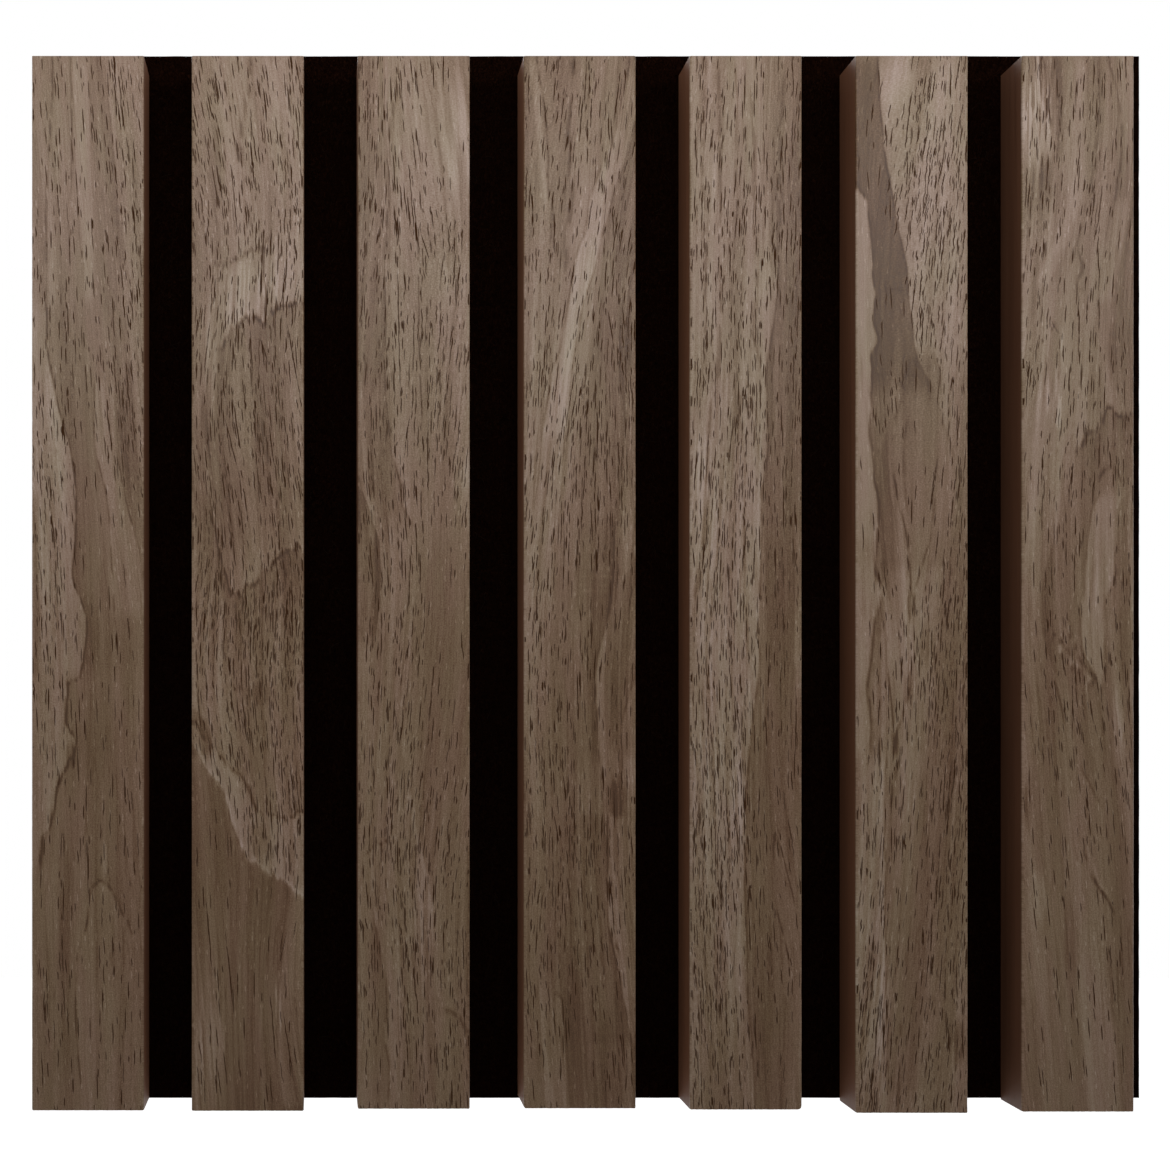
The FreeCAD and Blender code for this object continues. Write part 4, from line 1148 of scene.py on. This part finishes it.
def veneer_material():
    """Grey-brown walnut: the drawn figure, fibres that follow it, pores, pale flecks and shifts of hue."""
    g = new_material("smoked_walnut")
    along = g.math("MULTIPLY", g.split(g.place())["Z"], 1 / MM)
    fibre = g.attribute("fibre")
    sway = g.noise(g.join(g.math("MULTIPLY", fibre, 0.7), 0.0, g.math("MULTIPLY", along, 0.5)), 1.0)
    across = g.math("MULTIPLY_ADD", sway, 0.5, fibre)
    point = g.join(across, 0.0, along)
    fine = g.swing(point, (3.0, 1, 0.6), 3.0, 0.65)
    hairs = g.swing(point, (2.2, 1, 0.09), 2.0, 0.55)
    sand = g.swing(point, (4.0, 1, 2.8), 2.0, 0.6)
    contour = g.swing(point, (0.55, 1, 0.022), 1.0, 0.5)
    threads = g.ease(g.math("ABSOLUTE", contour), 0.0, 0.022, 1.0, 0.0)

    # Pores keep their width and their number where the fibres lie closer or wider apart
    crowd = g.attribute("crowd")
    spacing = g.attribute("spacing")
    many = g.math("DIVIDE", crowd, spacing)
    few = g.math("DIVIDE", g.math("MAXIMUM", g.math("SUBTRACT", crowd, 0.2), 0.0), spacing)
    wide = g.math("MULTIPLY", spacing, 0.15)
    narrow = g.math("MULTIPLY", spacing, 0.125)
    long_pores = g.dashes(across, along, (0.72, 5.4), wide, 3.3, g.math("MULTIPLY", many, 0.52), 3.0)
    short_pores = g.dashes(across, along, (0.6, 2.8), narrow, 1.6, g.math("MULTIPLY", few, 0.6), 31.0)
    short = g.math("MAXIMUM", long_pores, short_pores)
    pale = g.dashes(across, along, (0.9, 3.1), wide, 1.1, 0.14, 57.0)

    tone = g.math("MULTIPLY", g.attribute("tone"), 2.0)
    fine_amount = g.math("MULTIPLY_ADD", crowd, 0.9, 0.6)
    for layer, amount in ((fine, fine_amount), (hairs, 0.6), (sand, 1.4), (pale, 0.5), (threads, -0.22)):
        tone = g.math("MULTIPLY_ADD", layer, amount, tone)
    level = g.math("MULTIPLY_ADD", tone, 0.5, 0.5)
    wood = g.ramp(level, (
        (0.0, srgb(60, 38, 19)),
        (0.25, srgb(82, 60, 40)),
        (0.5, srgb(106, 85.5, 67)),
        (0.75, srgb(126, 107.5, 91.5)),
        (1.0, srgb(145, 129, 116)),
    ))
    hue = g.ease(g.noise(g.stretch(g.join(fibre, 0.0, along), (0.16, 1, 0.03)), 2.0), 0.35, 0.65)
    reddish = g.mix(hue, (0.975, 1.005, 0.95), (1.02, 0.98, 1.02))
    wood = g.mix(1.0, wood, reddish, "MULTIPLY")
    facing = g.ease(g.normal("Y"), -0.85, -0.75, 1.0, 0.0)
    open_pore = g.math("MAXIMUM", g.ease(g.attribute("pore"), 0.22, 0.58), short)
    open_pore = g.math("MULTIPLY", open_pore, facing)
    g.shade({
        "Base Color": g.mix(open_pore, wood, srgb(44, 22, 2)),
        "Roughness": g.math("MAXIMUM", g.math("MULTIPLY_ADD", fine, 0.2, 0.39), open_pore),
        "Specular IOR Level": 0.2,
        "Normal": g.bump(g.math("MULTIPLY_ADD", short, -1.0, fine), 0.00005),
    })
    return g.owner


def core_material():
    """Fibreboard stained dark brown, with sides that get darker towards the panel's right, fine upright
    streaks and matted cut ends.
    """
    g = new_material("stained_board")
    place = g.place()
    streak = g.noise(g.stretch(place, (900, 900, 16)), 3.0, 0.6)
    blotch = g.noise(g.stretch(place, (120, 120, 40)), 2.0)
    side = g.mix(streak, srgb(64, 37, 22), srgb(106, 69, 46))
    side = g.mix(g.math("MULTIPLY", blotch, 0.6), side, srgb(79, 48, 30))
    # The sides' colour is multiplied by a factor that falls from 1.14 at x 0.03 m to 0.77 at x 0.11 m, so
    # they get darker towards the right
    rightward_darkening = g.ease(g.split(place)["X"], 0.03, 0.11, 1.14, 0.77)
    side = g.mix(1.0, side, g.join(rightward_darkening, rightward_darkening, rightward_darkening), "MULTIPLY")
    mat = g.noise(g.stretch(place, (1500, 700, 1500)), 4.0, 0.7)
    cut = g.mix(mat, srgb(52, 36, 25), srgb(96, 74, 57))
    end = g.math("GREATER_THAN", g.math("ABSOLUTE", g.normal("Z")), 0.7)
    g.shade({
        "Base Color": g.mix(end, side, cut),
        "Roughness": g.math("MULTIPLY_ADD", streak, 0.2, 0.5),
        "Specular IOR Level": 0.35,
        "Normal": g.bump(streak, 0.00005),
    })
    return g.owner


def felt_material():
    """Black polyester felt: matted fibres over soft lumps, and dusty grey lint."""
    g = new_material("black_needled_felt")
    place = g.place()
    fibres = g.noise(g.stretch(place, (2600, 2600, 1500)), 4.0, 0.75, 1.5)
    clouds = g.noise(g.stretch(place, (160, 160, 120)), 3.0, 0.6)
    fibres = g.ease(fibres, 0.36, 0.64)
    base = g.mix(fibres, (0.0006, 0.0001, 0.0001), (0.0128, 0.0047, 0.0024))
    base = g.mix(g.math("MULTIPLY", clouds, 0.4), base, (0.0030, 0.0010, 0.0006))
    g.shade({
        "Base Color": g.mix(g.attribute("lint"), base, (0.022, 0.014, 0.010)),
        "Roughness": 1.0,
        "Specular IOR Level": 0.0,
        "Normal": g.bump(fibres, 0.0002),
    })
    return g.owner


def staple_material():
    """Galvanised flat wire, with faint draw marks along it."""
    g = new_material("staple_wire")
    marks = g.noise(g.stretch(g.place(), (300, 4000, 4000)), 2.0)
    g.shade({
        "Base Color": g.mix(marks, (0.42, 0.42, 0.43), (0.62, 0.62, 0.63)),
        "Roughness": g.math("MULTIPLY_ADD", marks, 0.25, 0.25),
        "Metallic": 1.0,
    })
    return g.owner


def dress(node, material):
    """Gives a CAD node its finish."""
    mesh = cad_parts[node].data
    mesh.materials.clear()
    mesh.materials.append(material)


WORLD_LIGHT = 0.234
FLOOR_SIZE = 6.0
FLOOR_HEIGHT = -0.60

# The photograph's frame: its side, and where the camera's axis meets the slats' faces, in its pixels
PHOTO_SIDE = 1170
AXIS_X = 318
AXIS_Y = 713
PIXELS_PER_MM = 4.152
FIRST_SLAT_LEFT = 31.8
SLAT_FOOT = 1110.5
CAMERA_DISTANCE = 384.6


def make_world():
    """A white background, and an even dim light on the object."""
    world = bpy.data.worlds.new("studio")
    bpy.context.scene.world = world
    g = Graph(world)
    dim = g.nodes["Background"]
    g.feed(dim.inputs["Color"], (1, 1, 1))
    g.feed(dim.inputs["Strength"], WORLD_LIGHT)
    white = g.node("ShaderNodeBackground", {"Color": (1, 1, 1)})
    g.white_to_camera(white.outputs[0], dim.outputs[0])


def make_floor():
    """A pale floor below the panel, white apart from the panel's soft shadow."""
    bpy.ops.mesh.primitive_plane_add(size=FLOOR_SIZE, location=(0, 0, FLOOR_HEIGHT))
    floor = bpy.context.object
    floor.name = "floor"
    g = new_material("pale_floor")
    lit = g.shade({"Base Color": (0.9, 0.9, 0.9), "Roughness": 0.9})
    glow = g.node("ShaderNodeEmission", {"Strength": 0.85})
    both = g.node("ShaderNodeAddShader", [lit, glow.outputs[0]])
    g.white_to_camera(both.outputs[0], lit)
    floor.data.materials.append(g.owner)


def area_light(name, place, target, size, power):
    """A soft rectangular lamp at place, turned to target."""
    data = bpy.data.lights.new(name, "AREA")
    data.shape = "RECTANGLE"
    data.size, data.size_y = size
    data.energy = power
    lamp = bpy.data.objects.new(name, data)
    bpy.context.scene.collection.objects.link(lamp)
    lamp.location = place
    lamp.rotation_euler = (lamp.location - Vector(target)).to_track_quat("Z", "Y").to_euler()


def make_lights():
    """A soft light from above the front, and weaker ones for the sides and the back."""
    area_light("key", (0.0, -0.497, 0.237), (0, -0.256, 0.416), (1.0, 0.176), 5.3)
    area_light("fill_left", (-0.9, -0.4, 0.2), (0, 0, 0), (0.6, 0.8), 1.5)
    area_light("fill_right", (0.9, -0.2, 0.2), (0, 0, 0), (0.6, 0.8), 1.5)
    area_light("rear", (-0.5, 1.0, 0.5), (0, 0, 0), (0.8, 0.8), 12.0)


def make_camera():
    """A camera square to the panel, aimed at its lower left part, its frame shifted as in the photograph."""
    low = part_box("face_veneer_1")[0]
    data = bpy.data.cameras.new("camera")
    data.sensor_width = 36
    data.lens = PIXELS_PER_MM * CAMERA_DISTANCE / PHOTO_SIDE * data.sensor_width
    data.shift_x = (PHOTO_SIDE / 2 - AXIS_X) / PHOTO_SIDE
    data.shift_y = (AXIS_Y - PHOTO_SIDE / 2) / PHOTO_SIDE
    data.clip_start = 0.01
    camera = bpy.data.objects.new("camera", data)
    bpy.context.scene.collection.objects.link(camera)
    camera.location = (
        low.x + (AXIS_X - FIRST_SLAT_LEFT) / PIXELS_PER_MM * MM,
        low.y - CAMERA_DISTANCE * MM,
        low.z + (SLAT_FOOT - AXIS_Y) / PIXELS_PER_MM * MM,
    )
    camera.rotation_euler = (math.pi / 2, 0, 0)
    bpy.context.scene.camera = camera


veneer = veneer_material()
board = core_material()
for slat in SLATS:
    veneer_piece(slat, veneer)
    dress("slat_core_%d" % slat, board)
felt_piece()
dress("staples", staple_material())

make_world()
make_floor()
make_lights()
make_camera()
bpy.context.scene.view_settings.view_transform = "Standard"
